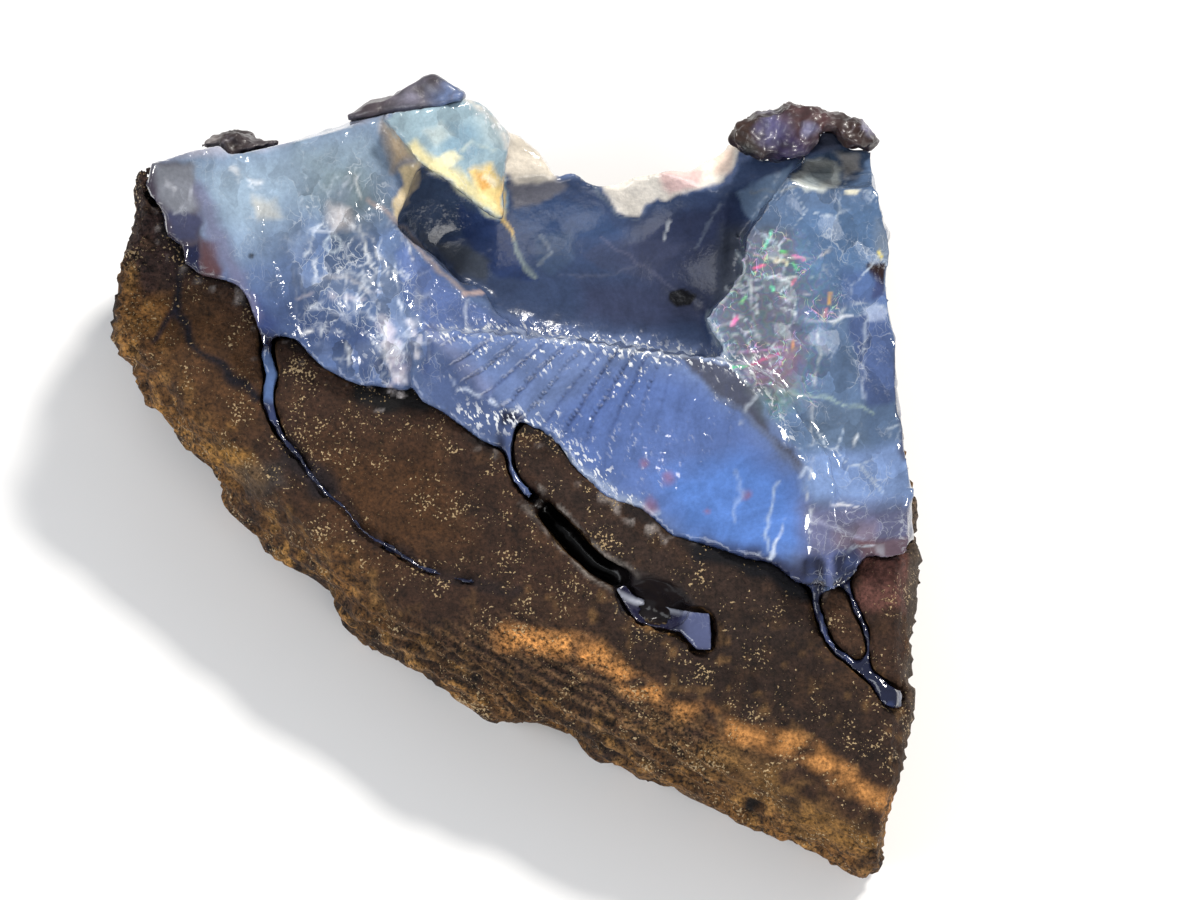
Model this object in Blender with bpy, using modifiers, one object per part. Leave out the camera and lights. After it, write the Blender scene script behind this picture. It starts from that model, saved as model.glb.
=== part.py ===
# Boulder opal rough: a sandy ironstone block with a thick opal seam broken open on one side.
# The stone lies on its back, and the broken face looks up and towards -Y.
import math
import bmesh
import bpy
from mathutils import Matrix, Vector

MM = 0.001
SIGHT_ELEVATION = math.radians(60)
SIGHT_X = 51.32
SIGHT_Y = 35.21
GAP = 0.3
GRAIN_SIZE = 0.95
GRAIN_HEIGHT = 0.6
LUMP_HEIGHT = 1.3
VEIN_DEPTH = 5.0
STONE_SHARE = 0.13

for old in list(bpy.data.objects):
    bpy.data.objects.remove(old, do_unlink=True)

stone = bpy.data.collections.new("boulder_opal")
helpers = bpy.data.collections.new("cutters")
bpy.context.scene.collection.children.link(stone)
bpy.context.scene.collection.children.link(helpers)


def spot(across, up, height):
    """The point that is seen at (across, up) in mm, and that is so high above the table."""
    along = (up - SIGHT_Y - height * math.cos(SIGHT_ELEVATION)) / math.sin(SIGHT_ELEVATION)
    return Vector((across - SIGHT_X, along, height)) * MM


def helper(name, mesh):
    made = bpy.data.objects.new(name, mesh)
    helpers.objects.link(made)
    made.hide_render = True
    made.display_type = "WIRE"
    return made


def prism(name, outline, low=-75.0, high=95.0):
    """An outline in the plane of sight, drawn out along the line of sight."""
    curve = bpy.data.curves.new(name, "CURVE")
    curve.dimensions = "2D"
    curve.fill_mode = "BOTH"
    curve.extrude = (high - low) / 2 * MM
    line = curve.splines.new("POLY")
    line.points.add(len(outline) - 1)
    for point, (across, up) in zip(line.points, outline):
        point.co = ((across - SIGHT_X) * MM, (up - SIGHT_Y) * MM, 0, 1)
    line.use_cyclic_u = True
    drawn = bpy.data.objects.new(name + "_curve", curve)
    mesh = bpy.data.meshes.new_from_object(drawn)
    bpy.data.objects.remove(drawn)
    turn = Matrix.Rotation(math.pi / 2 - SIGHT_ELEVATION, 4, "X")
    slide = Matrix.Translation(Vector((0, 0, (high + low) / 2 * MM)))
    mesh.transform(turn @ slide)
    return helper(name, tidy(mesh))


def tidy(mesh):
    shape = bmesh.new()
    shape.from_mesh(mesh)
    bmesh.ops.remove_doubles(shape, verts=shape.verts, dist=1e-6)
    bmesh.ops.recalc_face_normals(shape, faces=shape.faces)
    shape.to_mesh(mesh)
    shape.free()
    return mesh


def ball(name, centre, radii, turn=(0, 0, 0), fineness=4):
    """An ellipsoid: radii in mm, turned by degrees about X, Y and Z."""
    shape = bmesh.new()
    bmesh.ops.create_icosphere(shape, subdivisions=fineness, radius=1.0)
    mesh = bpy.data.meshes.new(name)
    shape.to_mesh(mesh)
    shape.free()
    size = Matrix.Diagonal(Vector(radii) * MM).to_4x4()
    turned = Matrix.Identity(4)
    for degrees, axis in zip(turn, "XYZ"):
        turned = Matrix.Rotation(math.radians(degrees), 4, axis) @ turned
    mesh.transform(Matrix.Translation(centre) @ turned @ size)
    return helper(name, mesh)


def hollow(name, a, b, c, radius, away, fineness=6):
    """A ball through three seen points, whose middle lies on the side that away points to."""
    a, b, c = spot(*a), spot(*b), spot(*c)
    across, along = b - a, c - a
    normal = across.cross(along)
    to_middle = (
        along.length_squared * normal.cross(across) * -1
        + across.length_squared * normal.cross(along)
    ) / (2 * normal.length_squared)
    middle = a - to_middle
    normal.normalize()
    if normal.dot(Vector(away)) < 0:
        normal.negate()
    rise = math.sqrt((radius * MM) ** 2 - to_middle.length_squared)
    return ball(name, middle + normal * rise, (radius,) * 3, (0, 0, 0), fineness)


def flat(name, a, b, c, away, lower=0.0):
    """A large block with one face through three seen points, on the side that away points to."""
    down = Vector((0, 0, lower * MM))
    a, b, c = spot(*a) - down, spot(*b) - down, spot(*c) - down
    normal = (b - a).cross(c - a).normalized()
    if normal.dot(Vector(away)) < 0:
        normal.negate()
    shape = bmesh.new()
    bmesh.ops.create_cube(shape, size=300 * MM)
    mesh = bpy.data.meshes.new(name)
    shape.to_mesh(mesh)
    shape.free()
    turned = normal.to_track_quat("Z", "Y").to_matrix().to_4x4()
    mesh.transform(Matrix.Translation((a + b + c) / 3 + normal * 150 * MM) @ turned)
    return helper(name, mesh)


def work(target, operation, *others):
    for other in others:
        step = target.modifiers.new(other.name, "BOOLEAN")
        step.operation = operation
        step.solver = "EXACT"
        step.object = other
    return target


def ribbon(name, route, low=-75.0, high=95.0, wider=0.0):
    """A vein: a band that follows a route of (across, up, width)."""
    left, right = [], []
    for i, (across, up, width) in enumerate(route):
        before = route[max(i - 1, 0)]
        after = route[min(i + 1, len(route) - 1)]
        run = Vector((after[0] - before[0], after[1] - before[1])).normalized()
        side = Vector((-run.y, run.x)) * (width / 2 + wider)
        end = run * (wider if i == len(route) - 1 else -wider if i == 0 else 0)
        left.append((across + side.x + end.x, up + side.y + end.y))
        right.append((across - side.x + end.x, up - side.y + end.y))
    return prism(name, left + right[::-1], low, high)


def grown(outline, amount):
    """The outline moved outwards by so many mm; it runs anticlockwise."""
    moved = []
    count = len(outline)
    for i, (across, up) in enumerate(outline):
        before, after = outline[i - 1], outline[(i + 1) % count]
        first = Vector((across - before[0], up - before[1])).normalized()
        second = Vector((after[0] - across, after[1] - up)).normalized()
        normal = Vector((first.y + second.y, -first.x - second.x)).normalized()
        sharp = max(0.45, normal.dot(Vector((first.y, -first.x))))
        moved.append((across + normal.x * amount / sharp, up + normal.y * amount / sharp))
    return moved


# Outlines in the plane of sight, in mm, anticlockwise.
WHOLE = [
    (13.6, 73.3), (13.6, 69.5), (13.4, 67.0), (13.0, 65.2), (12.6, 63.8), (12.2, 61.5),
    (11.7, 59.0), (11.2, 57.5), (11.2, 55.5), (11.7, 54.8), (13.3, 52.8), (14.0, 50.2),
    (15.0, 49.4), (16.2, 48.7), (17.0, 47.7), (18.3, 45.5), (19.6, 44.2), (21.2, 43.2),
    (21.7, 42.2), (22.0, 41.0), (22.8, 38.8), (24.5, 37.5), (25.8, 36.0), (26.3, 35.0),
    (28.0, 33.7), (29.5, 33.2), (31.0, 32.3), (32.7, 31.7), (33.3, 31.0), (33.7, 30.0),
    (34.3, 28.0), (35.2, 27.5), (36.5, 25.7), (37.2, 25.0), (38.5, 24.5), (40.0, 23.6),
    (43.0, 22.3), (44.5, 21.5), (45.8, 20.2), (47.0, 19.5), (48.5, 18.4), (49.7, 17.9),
    (54.5, 17.8), (56.0, 17.3), (58.0, 15.8), (60.0, 14.3), (63.5, 12.4), (66.0, 11.5),
    (70.5, 9.7), (74.0, 8.0), (77.0, 6.7), (80.0, 5.0), (83.0, 3.4), (84.8, 2.6),
    (86.2, 2.4), (87.6, 2.8), (88.0, 4.0), (88.4, 7.0), (88.7, 9.0), (89.3, 11.0),
    (89.7, 12.7), (90.5, 12.5), (91.1, 16.0), (91.5, 20.0), (91.8, 26.0), (92.1, 29.0),
    (91.8, 31.0), (91.9, 36.0), (91.5, 39.0), (90.9, 42.0), (90.5, 45.0), (90.0, 48.0),
    (89.8, 51.0), (89.6, 54.0), (89.3, 57.0), (88.9, 60.0), (88.8, 62.5), (89.1, 64.5),
    (89.0, 66.5), (88.4, 68.5), (87.7, 71.0), (87.3, 73.5), (87.2, 75.0), (87.0, 76.5),
    (86.2, 77.7), (84.0, 78.3), (82.0, 78.6), (80.0, 79.3), (78.8, 79.5), (77.8, 79.0),
    (77.0, 78.4), (74.5, 78.2), (73.8, 77.6), (73.1, 76.2), (72.0, 74.5), (70.3, 73.8),
    (69.0, 72.8), (67.2, 72.9), (65.5, 72.6), (63.2, 72.2), (62.0, 71.6), (60.0, 71.3),
    (58.3, 72.0), (57.8, 72.6), (56.8, 72.7), (55.6, 72.2), (54.9, 73.5), (54.3, 74.5),
    (53.3, 75.4), (52.0, 76.4), (50.5, 77.0), (49.9, 77.9), (49.0, 79.0), (47.8, 79.8),
    (46.6, 79.9), (46.0, 80.8), (45.0, 81.2), (43.5, 82.4), (42.0, 81.7), (40.0, 80.5),
    (38.8, 79.8), (37.0, 79.4), (35.5, 78.3), (34.0, 77.3), (32.2, 76.7), (30.0, 76.1),
    (28.0, 75.5), (26.2, 75.9), (24.8, 76.2), (23.5, 76.9), (22.5, 76.7), (21.5, 76.0),
    (20.0, 75.0), (18.5, 74.5), (16.5, 73.8),
]
CONTACT = [
    (15.6, 73.6), (15.0, 71.2), (16.0, 69.5), (16.8, 68.4), (17.0, 66.3), (18.6, 65.3),
    (18.8, 63.4), (20.5, 62.2), (22.8, 61.8), (24.4, 61.2), (25.2, 59.6), (25.9, 57.4),
    (26.3, 55.2), (27.4, 55.0), (27.2, 56.1), (28.6, 56.2), (30.0, 55.8), (31.0, 54.5),
    (32.5, 53.1), (34.5, 52.0), (36.5, 51.3), (38.6, 51.2), (40.4, 50.7), (41.6, 51.4),
    (42.2, 49.9), (44.0, 49.0), (46.0, 47.5), (48.0, 46.0), (50.0, 45.0), (50.6, 45.6),
    (51.3, 47.0), (52.3, 47.7), (54.0, 46.9), (55.5, 46.0), (56.5, 44.5), (57.5, 43.2),
    (59.0, 41.8), (60.3, 40.5), (62.0, 39.7), (64.0, 39.2), (65.5, 38.0), (67.0, 36.5),
    (69.0, 36.0), (73.0, 34.8), (74.5, 34.2), (77.0, 33.8), (79.0, 32.2), (80.6, 31.2),
    (81.4, 31.6), (82.6, 31.0), (84.0, 31.6), (85.4, 33.0), (86.0, 34.6), (88.0, 34.0),
    (90.0, 34.4), (90.9, 36.0), (90.8, 40.0),
]
SEAM = CONTACT + [
    (93.4, 46.0), (93.4, 75.6), (88.0, 75.4), (86.6, 74.9), (84.4, 75.2), (83.4, 76.6),
    (82.0, 76.6), (81.4, 75.2), (80.2, 74.2), (78.0, 73.8), (76.0, 73.9), (74.2, 74.7),
    (73.0, 75.6), (72.6, 80.3), (56.0, 80.4), (50.6, 82.2), (46.9, 81.0), (46.3, 79.7),
    (44.0, 79.2), (41.0, 78.7), (38.6, 78.4), (36.0, 77.9), (34.0, 77.5), (31.0, 77.6),
    (29.5, 76.6), (28.0, 75.3), (25.4, 74.6), (23.2, 74.2), (22.2, 75.2), (20.2, 74.8),
    (18.0, 74.4),
]
SOCKET = CONTACT + [(97.0, 46.2), (97.2, 97.0), (15.7, 97.4)]
LEFT_KNOB = [
    (20.2, 75.0), (22.3, 75.5), (23.2, 74.4), (25.4, 74.8), (28.4, 75.4), (26.2, 75.9),
    (24.8, 76.4), (23.5, 77.0), (22.5, 76.9), (21.5, 76.2),
]
REAR_WEDGE = [
    (34.4, 77.6), (36.0, 78.1), (38.6, 78.6), (41.0, 78.9), (44.0, 79.4), (46.7, 80.0),
    (46.0, 80.9), (45.0, 81.3), (43.5, 82.5), (42.0, 81.8), (40.0, 80.6), (38.8, 80.0),
    (37.0, 79.5), (35.5, 78.4),
]
RIGHT_KNOB = [
    (73.0, 75.8), (74.3, 74.9), (76.0, 74.1), (78.0, 74.0), (80.1, 74.4), (81.2, 75.3),
    (81.9, 76.8), (83.5, 76.8), (84.5, 75.4), (86.6, 75.1), (87.4, 75.6), (87.1, 76.6),
    (86.3, 77.8), (84.0, 78.4), (82.0, 78.7), (80.0, 79.4), (78.8, 79.6), (77.8, 79.1),
    (77.0, 78.5), (74.5, 78.3), (73.8, 77.7), (73.0, 76.4),
]
LEFT_BLOCK = [
    (6.1, 93.3), (6.3, 47.1), (41.6, 47.3), (42.0, 53.0), (43.2, 56.4), (50.0, 56.4),
    (52.4, 56.8), (49.6, 58.6), (48.6, 60.6), (47.6, 61.3), (46.2, 61.6), (43.0, 64.6),
    (39.6, 66.9), (40.6, 69.5), (41.8, 73.0), (41.2, 76.6), (39.5, 79.0), (37.0, 93.1),
]
BLADE = [
    (38.4, 77.8), (40.0, 76.0), (42.0, 73.5), (45.0, 71.5), (47.5, 69.5), (49.0, 68.3),
    (50.5, 67.7), (50.5, 72.0), (51.0, 75.0), (51.4, 78.0), (49.0, 82.0), (46.0, 82.0),
    (43.0, 80.5), (39.5, 79.6),
]
FRONT_LIP = [
    (40.9, 27.2), (85.1, 26.4), (83.0, 44.0), (79.0, 50.0), (76.4, 52.6), (74.0, 53.6),
    (70.0, 54.2), (67.0, 54.6), (64.0, 55.0), (60.0, 55.6), (56.0, 56.0), (50.0, 56.5),
    (43.0, 57.0), (41.0, 56.0),
]
RIGHT_BLOCK = [
    (80.0, 73.6), (78.0, 71.5), (76.5, 69.5), (75.0, 67.0), (74.0, 65.7), (74.5, 64.5),
    (73.7, 63.8), (74.2, 62.8), (73.5, 62.0), (72.0, 60.0), (70.8, 58.8), (70.5, 57.8),
    (71.5, 56.0), (73.0, 53.5), (74.5, 51.5), (76.0, 51.0), (76.6, 48.4), (78.5, 46.0),
    (80.0, 44.0), (80.3, 38.0), (80.6, 25.1), (96.3, 25.3), (96.1, 91.7), (81.0, 91.3),
]
# Veins: across, up and width in mm.
LEFT_VEIN = [
    (26.9, 56.5, 1.2), (26.9, 54.8, 1.5), (27.4, 52.5, 1.7), (27.0, 50.0, 1.5),
    (27.8, 47.5, 1.2), (28.6, 46.0, 0.9), (30.0, 44.5, 0.8), (31.3, 42.5, 0.8),
    (32.7, 40.8, 0.8), (34.6, 39.3, 0.7), (36.4, 37.0, 0.8), (38.2, 35.8, 0.8),
    (40.5, 34.5, 0.9), (42.4, 33.2, 0.8), (45.0, 32.4, 0.7), (48.0, 31.7, 0.6),
]
MIDDLE_VEIN = [
    (51.4, 48.4, 1.2), (51.1, 46.4, 1.2), (50.9, 44.8, 1.1), (51.2, 43.0, 1.0),
    (52.0, 41.5, 1.1), (53.3, 40.2, 1.2),
]
OPEN_CRACK = [
    (52.6, 40.8, 1.2), (54.2, 39.4, 1.7), (56.0, 37.4, 2.2), (57.8, 35.4, 2.3),
    (59.6, 33.6, 2.0), (61.4, 32.6, 1.8), (63.0, 32.0, 2.0),
]
RIGHT_VEIN = [
    (81.0, 33.6, 1.4), (81.0, 31.4, 1.2), (81.4, 29.6, 1.0), (82.0, 27.2, 1.0),
    (83.2, 25.2, 1.1), (85.0, 23.8, 1.2), (87.0, 22.4, 1.6), (88.6, 20.6, 2.2),
    (90.0, 20.2, 2.2),
]
RIGHT_VEIN_TWO = [
    (84.2, 34.0, 1.4), (84.3, 31.8, 1.0), (85.2, 29.4, 0.9), (86.2, 27.4, 0.9),
    (86.6, 25.4, 0.9), (86.2, 23.4, 0.9),
]
VEINS = [
    ("left_vein", LEFT_VEIN),
    ("middle_vein", MIDDLE_VEIN),
    ("right_vein", RIGHT_VEIN),
    ("right_vein_two", RIGHT_VEIN_TWO),
]
POCKET_LENS = [
    (61.6, 31.2), (62.4, 29.8), (63.6, 28.0), (65.4, 27.4), (68.0, 27.0), (69.6, 25.2),
    (71.0, 25.2), (70.8, 28.8), (68.6, 29.0), (66.0, 29.6), (63.6, 30.4), (62.4, 31.6),
]


# The opal seam: four blocks whose tops are hollow breaks, joined and cut to the seam's outline.
def top(name, a, b, c, radius=150.0, fineness=5):
    return hollow(name, a, b, c, radius, (0, 0, 1), fineness)


bowl_block = prism("bowl_block", [(4.2, 23.1), (98.4, 23.7), (98.2, 96.2), (4.6, 96.6)], -60, 82)
work(
    bowl_block,
    "DIFFERENCE",
    top("rim_level", (48.0, 79.0, 27.5), (64.0, 72.5, 24.5), (86.0, 75.0, 28.0), 90.0),
    ball("bowl", spot(61.2, 64.5, 34.0), (26.5, 16.8, 19.5), (0, 0, -4), 4),
    ball("bowl_left", spot(47.0, 66.0, 34.0), (13.0, 14.0, 17.6), (0, 0, 25), 4),
    ball("bowl_right", spot(75.5, 66.0, 34.0), (11.5, 14.0, 18.2), (0, 0, -20), 4),
    ball("bowl_rear", spot(60.7, 71.5, 36.0), (16.0, 11.0, 18.6), (0, 10, 10), 4),
)
left_block = prism("left_block", LEFT_BLOCK, -59, 84)
work(
    left_block,
    "DIFFERENCE",
    top("left_facet", (20.0, 72.6, 31.5), (26.2, 56.0, 26.7), (38.0, 76.0, 34.0)),
    top("cracked_facet", (31.0, 55.0, 27.0), (41.5, 51.5, 25.8), (39.0, 68.0, 31.0), 90.0),
    top("blue_flank", (40.2, 60.0, 28.4), (48.4, 60.2, 25.0), (43.0, 56.8, 27.2), 60.0),
    hollow("back_slope", (17.0, 73.4, 31.0), (38.6, 78.0, 34.2), (26.0, 77.4, 23.0), 120.0, (0, 1, 1), 5),
)
blade = prism("blade", BLADE, -57, 81)
work(
    blade,
    "DIFFERENCE",
    top("blade_top", (40.0, 78.2, 35.4), (47.0, 80.5, 33.4), (50.4, 68.0, 28.6), 70.0),
    flat("blade_under", (40.0, 76.5, 29.6), (47.0, 80.5, 28.0), (50.4, 68.0, 26.0), (0, 0, -1)),
)
front_lip = prism("front_lip", FRONT_LIP, -58, 83)
work(
    front_lip,
    "DIFFERENCE",
    top("lip_facet", (44.0, 49.5, 26.0), (79.0, 34.5, 25.4), (60.0, 55.6, 28.4), 120.0),
    top("lip_scoop", (58.0, 43.0, 25.6), (76.0, 35.5, 25.0), (73.0, 50.0, 26.6), 60.0),
)
right_block = prism("right_block", RIGHT_BLOCK, -56, 80)
work(
    right_block,
    "DIFFERENCE",
    top("right_facet", (79.0, 72.0, 34.0), (71.4, 57.4, 27.4), (88.6, 62.0, 31.0), 110.0),
    top("right_low_facet", (80.0, 44.0, 27.6), (90.0, 46.0, 28.4), (85.0, 34.0, 25.4), 90.0),
    top("oval_chip", (79.0, 72.2, 33.2), (84.2, 72.0, 32.2), (82.0, 74.6, 30.0), 16.0, 4),
)
seam_floor = [(20.0, 60.0, 9.5), (80.0, 62.0, 9.0), (60.0, 44.0, 11.5)]
seam_under = flat("seam_under", *seam_floor, (0, 0, -1))
outline_seam = prism("seam_outline", SEAM)
outline_rock = prism("stone_outline", WHOLE)

# Breaks and worn flanks on the hidden sides. The first ones pass through opal and ironstone alike.
breaks = [
    hollow("rear_left", (14.0, 74.2, 19.0), (43.0, 83.0, 24.0), (28.0, 67.0, 0.0), 150.0, (0, 1, 0), 5),
    hollow("rear_right", (74.0, 79.0, 24.0), (88.0, 77.6, 23.0), (80.0, 68.0, 0.0), 120.0, (0, 1, 0), 5),
    hollow("right", (93.4, 38.0, 19.0), (90.4, 10.0, 13.0), (90.2, 34.0, 0.0), 160.0, (1, 0, 0), 5),
    hollow("left", (13.4, 70.0, 20.0), (11.4, 57.0, 15.0), (16.0, 60.0, 0.0), 140.0, (-1, 0, 0), 5),
]
rim = hollow("rim", (57.0, 72.4, 19.6), (71.0, 74.2, 20.4), (64.0, 69.0, 5.0), 19.0, (0, 1, 0), 4)
heel = hollow("heel", (55.0, 71.8, 7.0), (72.0, 72.6, 7.0), (64.0, 68.6, 0.0), 60.0, (0, 1, 0), 5)
flanks = [
    flat("right_skin", (91.0, 46.0, 27.5), (89.2, 17.0, 21.0), (93.2, 30.0, 16.0), (1, 0, 1)),
    flat("skin_one", (14.6, 53.9, 23.6), (26.5, 41.4, 21.1), (19.6, 44.0, 13.5), (-1, -1, 0)),
    flat("skin_two", (26.5, 40.4, 20.8), (45.5, 26.0, 18.8), (34.3, 28.0, 12.0), (-1, -1, 0)),
    flat("skin_three", (46.0, 24.9, 18.6), (66.0, 16.4, 18.4), (58.0, 15.8, 11.5), (0, -1, 0)),
    flat("skin_four", (64.0, 17.4, 18.5), (84.5, 8.2, 18.0), (77.0, 6.7, 11.0), (0, -1, 0)),
]
FACE = [(13.5, 72.0, 28.4), (87.0, 5.0, 17.3), (91.5, 34.0, 26.3)]


def finished(name, colour, roughness, base):
    base.name = name
    base.data.name = name
    for owner in list(base.users_collection):
        owner.objects.unlink(base)
    stone.objects.link(base)
    base.hide_render = False
    base.display_type = "TEXTURED"
    look = bpy.data.materials.new(name)
    look.use_nodes = True
    shader = look.node_tree.nodes["Principled BSDF"]
    shader.inputs["Base Color"].default_value = (*colour, 1)
    shader.inputs["Roughness"].default_value = roughness
    base.data.materials.clear()
    base.data.materials.append(look)
    return base


def above(name, depth):
    """Everything higher than the broken face of the ironstone moved down by depth."""
    return flat(name, *FACE, (0, 0, 1), depth)


def roughened(body, grain, share, *waves):
    """Turns a cut block into worn stone: even grains, then lumps of each size and height."""
    remesh = body.modifiers.new("grain", "REMESH")
    remesh.mode = "VOXEL"
    remesh.voxel_size = grain * MM
    for size, height, level in waves:
        clouds = bpy.data.textures.new("lumps", "CLOUDS")
        clouds.noise_scale = size * MM
        clouds.noise_depth = 1
        lumps = body.modifiers.new("lumps", "DISPLACE")
        lumps.texture = clouds
        lumps.strength = height * MM
        lumps.mid_level = level
    body.modifiers.new("fewer", "DECIMATE").ratio = share


opal = outline_seam
vein_top = above("vein_top", 0.3)
work(opal, "DIFFERENCE", seam_under)
work(bowl_block, "UNION", left_block, blade, front_lip, right_block)
work(opal, "INTERSECT", bowl_block, prism("outer_limit", grown(WHOLE, -0.15)))
work(opal, "DIFFERENCE", *breaks, rim)
for name, route in VEINS:
    vein = work(ribbon(name, route), "DIFFERENCE", vein_top, flanks[0])
    work(opal, "UNION", work(vein, "INTERSECT", above(name + "_floor", VEIN_DEPTH)))
finished("opal_seam", (0.30, 0.45, 0.75), 0.15, opal)

lens = prism("lens_outline", POCKET_LENS)
work(lens, "DIFFERENCE", vein_top)
work(lens, "INTERSECT", above("lens_floor", 3.0))
pocket_middle = spot(65.2, 30.6, 23.6)
work(lens, "DIFFERENCE", ball("pocket_inside", pocket_middle, (4.1, 2.8, 4.8), (0, 0, -22), 3))
finished("pocket_opal", (0.35, 0.40, 0.62), 0.15, lens)

rock = outline_rock
work(rock, "DIFFERENCE", above("stone_face", 0.0), *breaks, heel, *flanks)
roughened(rock, GRAIN_SIZE, STONE_SHARE, (9.0, LUMP_HEIGHT, 0.8), (2.6, GRAIN_HEIGHT, 0.65))
socket = prism("seam_socket", grown(SOCKET, GAP))
work(socket, "DIFFERENCE", flat("socket_floor", *seam_floor, (0, 0, -1), GAP))
work(rock, "DIFFERENCE", socket)
for name, route in VEINS:
    groove = ribbon(name + "_groove", route, wider=GAP)
    work(rock, "DIFFERENCE", work(groove, "INTERSECT", above(name + "_bed", VEIN_DEPTH + GAP)))
crack = work(ribbon("open_crack", OPEN_CRACK), "INTERSECT", above("crack_floor", 6.0))
bed = work(prism("lens_socket", grown(POCKET_LENS, GAP)), "INTERSECT", above("lens_bed", 3.0 + GAP))
work(
    rock,
    "DIFFERENCE",
    crack,
    bed,
    ball("pocket", pocket_middle, (3.9, 2.6, 4.6), (0, 0, -22), 3),
    flat("table", (20, 40, 0), (60, 40, 0), (40, 60, 0), (0, 0, -1)),
)
finished("ironstone_matrix", (0.12, 0.07, 0.04), 0.85, rock)

# Patches of ironstone crust left on the back of the opal.
crust_gap = prism("crust_gap", grown(SEAM, GAP))
for name, outline, middle, radii in (
    ("left_knob", LEFT_KNOB, (24.4, 76.0, 27.5), (6.5, 5.0, 7.0)),
    ("rear_wedge", REAR_WEDGE, (41.5, 80.4, 30.0), (9.5, 5.5, 8.0)),
    ("right_knob", RIGHT_KNOB, (80.2, 77.0, 33.0), (9.5, 7.0, 8.5)),
):
    patch = prism(name + "_outline", outline)
    work(patch, "DIFFERENCE", above(name + "_level", 0.0))
    work(patch, "INTERSECT", ball(name + "_limit", spot(*middle), radii, (0, 0, 0), 4))
    roughened(patch, 0.5, 0.12, (3.0, 0.7, 0.5))
    work(patch, "DIFFERENCE", crust_gap)
    finished(name, (0.14, 0.07, 0.05), 0.6, patch)
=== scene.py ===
import math

import bmesh
import bpy
import numpy as np
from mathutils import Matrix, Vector


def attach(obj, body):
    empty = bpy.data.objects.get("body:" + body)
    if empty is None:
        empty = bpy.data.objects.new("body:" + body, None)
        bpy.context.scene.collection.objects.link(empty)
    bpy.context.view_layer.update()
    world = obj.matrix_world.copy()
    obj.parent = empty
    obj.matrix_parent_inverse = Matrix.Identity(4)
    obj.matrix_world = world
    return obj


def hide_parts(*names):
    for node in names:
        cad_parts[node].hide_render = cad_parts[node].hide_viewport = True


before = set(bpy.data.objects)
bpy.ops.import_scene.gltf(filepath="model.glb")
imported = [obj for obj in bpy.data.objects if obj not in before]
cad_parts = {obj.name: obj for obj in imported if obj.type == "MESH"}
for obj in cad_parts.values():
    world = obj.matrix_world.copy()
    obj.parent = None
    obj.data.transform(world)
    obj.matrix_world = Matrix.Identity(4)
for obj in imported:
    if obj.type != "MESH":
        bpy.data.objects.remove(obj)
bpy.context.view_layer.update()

MM = 0.001
OFF_TABLE = 0.02 * MM

# Camera, floor and light
# The stone lies on a pale table, and the camera looks down on it at 60 degrees, as in the photograph.
# The key light comes from behind on the right, so that the hollow is in shade and the thin edges are lit.
SIGHT = Vector((0.0, -0.5, 0.866))
CAMERA_AWAY = 3
LIT_POINT = Vector((0, 0, 0.015))
aim = Vector((8.68, 11.30, 0.0)) * MM
lens = bpy.data.cameras.new("camera")
lens.lens = 900
lens.sensor_width = 36
lens.clip_end = 20
camera = bpy.data.objects.new("camera", lens)
camera.location = aim + SIGHT * CAMERA_AWAY
camera.rotation_euler = (math.radians(30), 0, 0)
bpy.context.scene.collection.objects.link(camera)
bpy.context.scene.camera = camera
bpy.context.scene.view_settings.view_transform = "Standard"


def lamp(name, place, size, power, colour):
    """A square soft light that faces the stone."""
    light = bpy.data.lights.new(name, "AREA")
    light.size = size
    light.energy = power
    light.color = colour
    lit = bpy.data.objects.new(name, light)
    lit.location = place
    lit.rotation_euler = (LIT_POINT - lit.location).to_track_quat("-Z", "Y").to_euler()
    bpy.context.scene.collection.objects.link(lit)


lamp("key", Vector((0.28, 0.35, 0.75)), 0.14, 6.8, (1.0, 0.96, 0.90))
lamp("side_fill", Vector((-0.55, -0.35, 0.60)), 0.50, 3.6, (0.93, 0.96, 1.0))
lamp("front_fill", Vector((0.35, -0.75, 0.45)), 0.45, 2.8, (1.0, 0.98, 0.95))

world = bpy.data.worlds.new("studio")
world.use_nodes = True
world.node_tree.nodes["Background"].inputs["Color"].default_value = (0.95, 0.97, 1.0, 1)
world.node_tree.nodes["Background"].inputs["Strength"].default_value = 0.42
bpy.context.scene.world = world


def add(tree, kind, values=(), **settings):
    """A shader node; each value is a number, a colour or the socket that it is linked to."""
    made = tree.nodes.new("ShaderNode" + kind)
    for key, value in settings.items():
        setattr(made, key, value)
    for key, value in dict(values).items():
        if isinstance(value, bpy.types.NodeSocket):
            tree.links.new(value, made.inputs[key])
        else:
            made.inputs[key].default_value = value
    return made


def mixed(tree, share, first, second, blend="MIX"):
    made = add(tree, "Mix", {0: share, 6: first, 7: second}, data_type="RGBA", blend_type=blend)
    return made.outputs[2]


def maths(tree, operation, first, second=0.0, third=0.0):
    values = {0: first, 1: second, 2: third}
    return add(tree, "Math", values, operation=operation).outputs[0]


def ramped(tree, value, low, high):
    """0 at the low value and 1 at the high one, with soft ends."""
    values = {"Value": value, "From Min": low, "From Max": high}
    return add(tree, "MapRange", values, interpolation_type="SMOOTHSTEP").outputs[0]


def linear(colour):
    """A colour of 0 to 255 per channel, as a paint chart gives it, in the shader's own values."""
    return ((np.array(colour) / 255 + 0.055) / 1.055) ** 2.4


def material(name, values):
    """A new material, with its node tree and its shader, which has these plain values."""
    made = bpy.data.materials.new(name)
    made.use_nodes = True
    shader = made.node_tree.nodes["Principled BSDF"]
    for key, value in values.items():
        shader.inputs[key].default_value = value
    return made, made.node_tree, shader


def texture(tree, place, scale, detail, roughness=0.5, distortion=0.0):
    values = {"Vector": place, "Scale": scale, "Detail": detail}
    values.update({"Roughness": roughness, "Distortion": distortion})
    return add(tree, "TexNoise", values).outputs["Fac"]


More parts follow.
